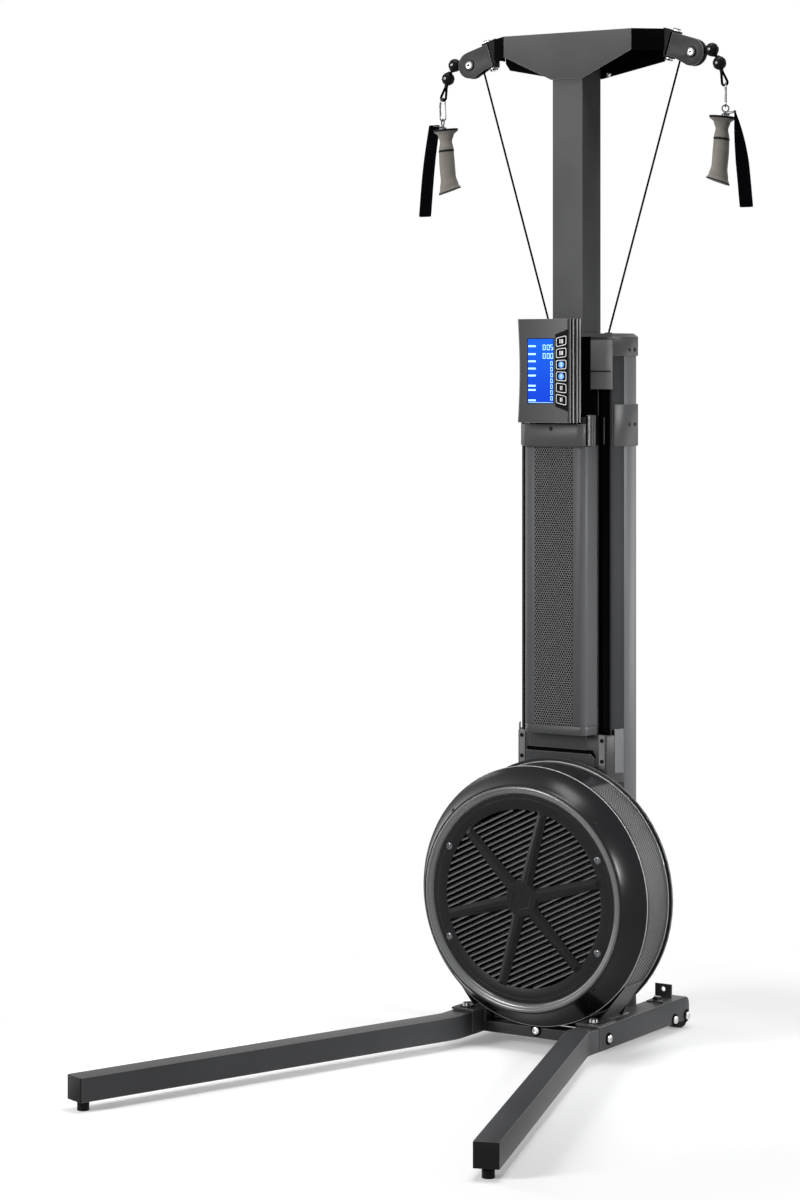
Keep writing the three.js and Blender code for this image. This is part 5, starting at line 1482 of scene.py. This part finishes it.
# Painted shade: the back plate's front faces are painted black
face_up(drum_back, "black_plastic_and_shade", lambda middle, normal: normal.y < -0.5)
for cad_node, look in (
    ("fan_rotor", "black_plastic_and_shade"), ("fan_shaft", "bright_steel"), ("bearing_cartridge", "bright_steel"),
    ("cord_drum_left", "black_plastic_and_shade"), ("cord_drum_right", "black_plastic_and_shade"),
):
    refined(cad_node, look, 0.4, 1)

# Base, legs, feet and wheels
refined("front_cross_member", "dark_coat")
for side in sides:
    refined(f"base_bar_{side}", "leg_coat", 2.0, 3)
    refined(f"leg_{side}", "leg_coat", 2.2, 3)
    refined(f"leg_end_cap_{side}", "black_plastic_and_shade", 1.4)
refined("wheel_axle", "bright_steel", 0.8)

bar_x, bar_outside = 154, 179
wheel_y, wheel_z = 166, 28
# Head of the bolt, place, direction and the radius of its washer
bolts = [(dome_bolt(8.8, 4.4), (0, -172, 36), (0, -1, 0), 12.6)]
for sign in sides.values():
    for y, z in ((-180, 41), (112, wheel_z), (wheel_y, wheel_z)):
        bolts.append((dome_bolt(8.8, 4.6), (sign * bar_outside, y, z), (sign, 0, 0), 12.8))
    bolts.append((hex_bolt(9.2, 7.4), (sign * bar_x, -200, 74.2), (0, 0, 1), 14.5))
    bolts.append((dome_bolt(7.6, 4.6), (sign * bar_x, 80, 76.6), (0, 0, 1), 11.0))
base_bolts = [fixed(shifted(head, z=1.4), where, direction) for head, where, direction, _ in bolts]
base_washers = [fixed(plain_washer(radius, 1.5), where, direction) for _, where, direction, radius in bolts]
piece("base_bolts", base_bolts, "bright_steel")
piece("base_washers", base_washers, "black_coat_and_shade")
bar_rails = side_blocks(153, 158, -142, -55, 69.6, 71.0)
piece("bar_rails", bar_rails, "bright_trim_and_highlight", rounding=0.4)

foot_x, foot_y = 457.6, -1117.1
foot_pad = turned([
    (0, 0), (11.2, 0), (12, 0.9), (12, 6), (11.4, 8), (12, 9.5), (12, 15), (10.6, 17), (0, 17),
], 32)
thread_root, thread_crest, thread_pitch, thread_count = 4.3, 5.0, 1.4, 12
threads = [
    row for i in range(thread_count)
    for row in ((thread_root, 16.6 + i * thread_pitch), (thread_crest, 17.3 + i * thread_pitch))
]
foot_stud = turned([(0, 16), *threads, (thread_root, 34), (0, 34)], 20)
tyre = turned([
    (6.3, -15), (18, -15), (19.5, -12.6), (22.5, -12.6), (24, -15), (26.4, -15), (28, -13.2), (28, -5.4),
    (27.2, -4.6), (27.2, -3.8), (28, -3), (28, 3), (27.2, 3.8), (27.2, 4.6), (28, 5.4), (28, 13.2),
    (26.4, 15), (24, 15), (22.5, 12.6), (19.5, 12.6), (18, 15), (6.3, 15),
], 64, closed=True)
for side, sign in sides.items():
    pad, stud = [shifted(part, sign * foot_x, foot_y) for part in (foot_pad, foot_stud)]
    piece(f"foot_{side}_pad", pad, "rubber", f"foot_{side}", (f"levelling_foot_{side}",))
    piece(f"foot_{side}_stud", stud, "bright_steel", f"foot_{side}")
    on_axle = Matrix.Translation((sign * bar_x, wheel_y, wheel_z)) @ Matrix.Rotation(pi / 2, 4, "Y")
    piece(
        f"wheel_{side}_tyre", moved(tyre, on_axle), "rubber", f"wheel_{side}", (f"transport_wheel_{side}",),
    )

# Floor, background and light
soft_strength, floor_lift = 0.24, 0.22
shadow_reach, white_from, oval = 0.95, 1.4, 0.8


def seen_directly():
    """1 where the camera, a mirror or clear glass shows the background, 0 where it only lights."""
    camera_ray, glossy_ray, through_ray = (
        node("ShaderNodeLightPath", output=f"Is {kind} Ray")
        for kind in ("Camera", "Glossy", "Transmission")
    )
    return camera_ray.apply("MAXIMUM", glossy_ray).apply("MAXIMUM", through_ray)


def studio_floor():
    """White floor that keeps the shadow near the object and fades to plain white beyond it."""
    x, y, _ = axes(place())
    away = ((x / oval) ** 2.0 + y ** 2.0).apply("SQRT")
    paper = node("ShaderNodeBsdfDiffuse", values={"Color": (0.86, 0.86, 0.86, 1)})
    lift = node("ShaderNodeEmission", values={
        "Color": (1, 1, 1, 1), "Strength": seen_directly() * floor_lift,
    })
    lit = node("ShaderNodeAddShader", values={0: paper, 1: lift})
    far = node("ShaderNodeEmission", values={
        "Color": (1, 1, 1, 1), "Strength": soft_strength + seen_directly() * (1.0 - soft_strength),
    })
    return node("ShaderNodeMixShader", values={0: away.between(shadow_reach, white_from), 1: lit, 2: far})


floor_half = 30.0
floor_mesh = bpy.data.meshes.new("floor")
floor_corners = [(x * floor_half, y * floor_half, 0) for x, y in ((-1, -1), (1, -1), (1, 1), (-1, 1))]
floor_mesh.from_pydata(floor_corners, [], [[0, 1, 2, 3]])
floor_mesh.materials.append(surface("studio_floor", studio_floor))
floor = in_scene("floor", floor_mesh)

world = bpy.data.worlds.new("studio")
bpy.context.scene.world = world
draw_in(world)
soft_light = node("ShaderNodeBackground", values={
    "Color": (0.80, 0.81, 0.83, 1), "Strength": soft_strength,
})
white = node("ShaderNodeBackground", values={"Color": (1, 1, 1, 1), "Strength": 1.0})
background = node("ShaderNodeMixShader", values={0: seen_directly(), 1: soft_light, 2: white})
link_surface(background, "ShaderNodeOutputWorld")


def lamp(name, where, aim, width, height, power, spread=180):
    """A soft box at a place, turned to its aim; metres, watts and degrees."""
    data = bpy.data.lights.new(name, "AREA")
    data.spread = radians(spread)
    data.shape = "RECTANGLE"
    data.size = width
    data.size_y = height
    data.energy = power
    made = in_scene(name, data)
    made.location = where
    made.visible_camera = False
    made.rotation_euler = (Vector(aim) - Vector(where)).to_track_quat("-Z", "Y").to_euler()


lamp("front_box", (-2.2, -4.4, 2.4), (0, 0.3, 1.1), 1.3, 2.4, 185)
lamp("rear_right_box", (1.9, 3.2, 0.95), (0.1, 0.5, 0.85), 0.9, 1.6, 9)
lamp("top_box", (0.2, 0.2, 4.2), (0, 0.2, 0), 1.4, 1.4, 70)
lamp("right_box", (2.7, 0.55, 1.40), (0, 0.4, 0.62), 0.6, 0.8, 6.5, 44)
lamp("left_strip", (-2.7, -0.1, 1.3), (0, 0.3, 1.1), 0.3, 2.6, 26)

bpy.context.scene.view_settings.view_transform = "Standard"
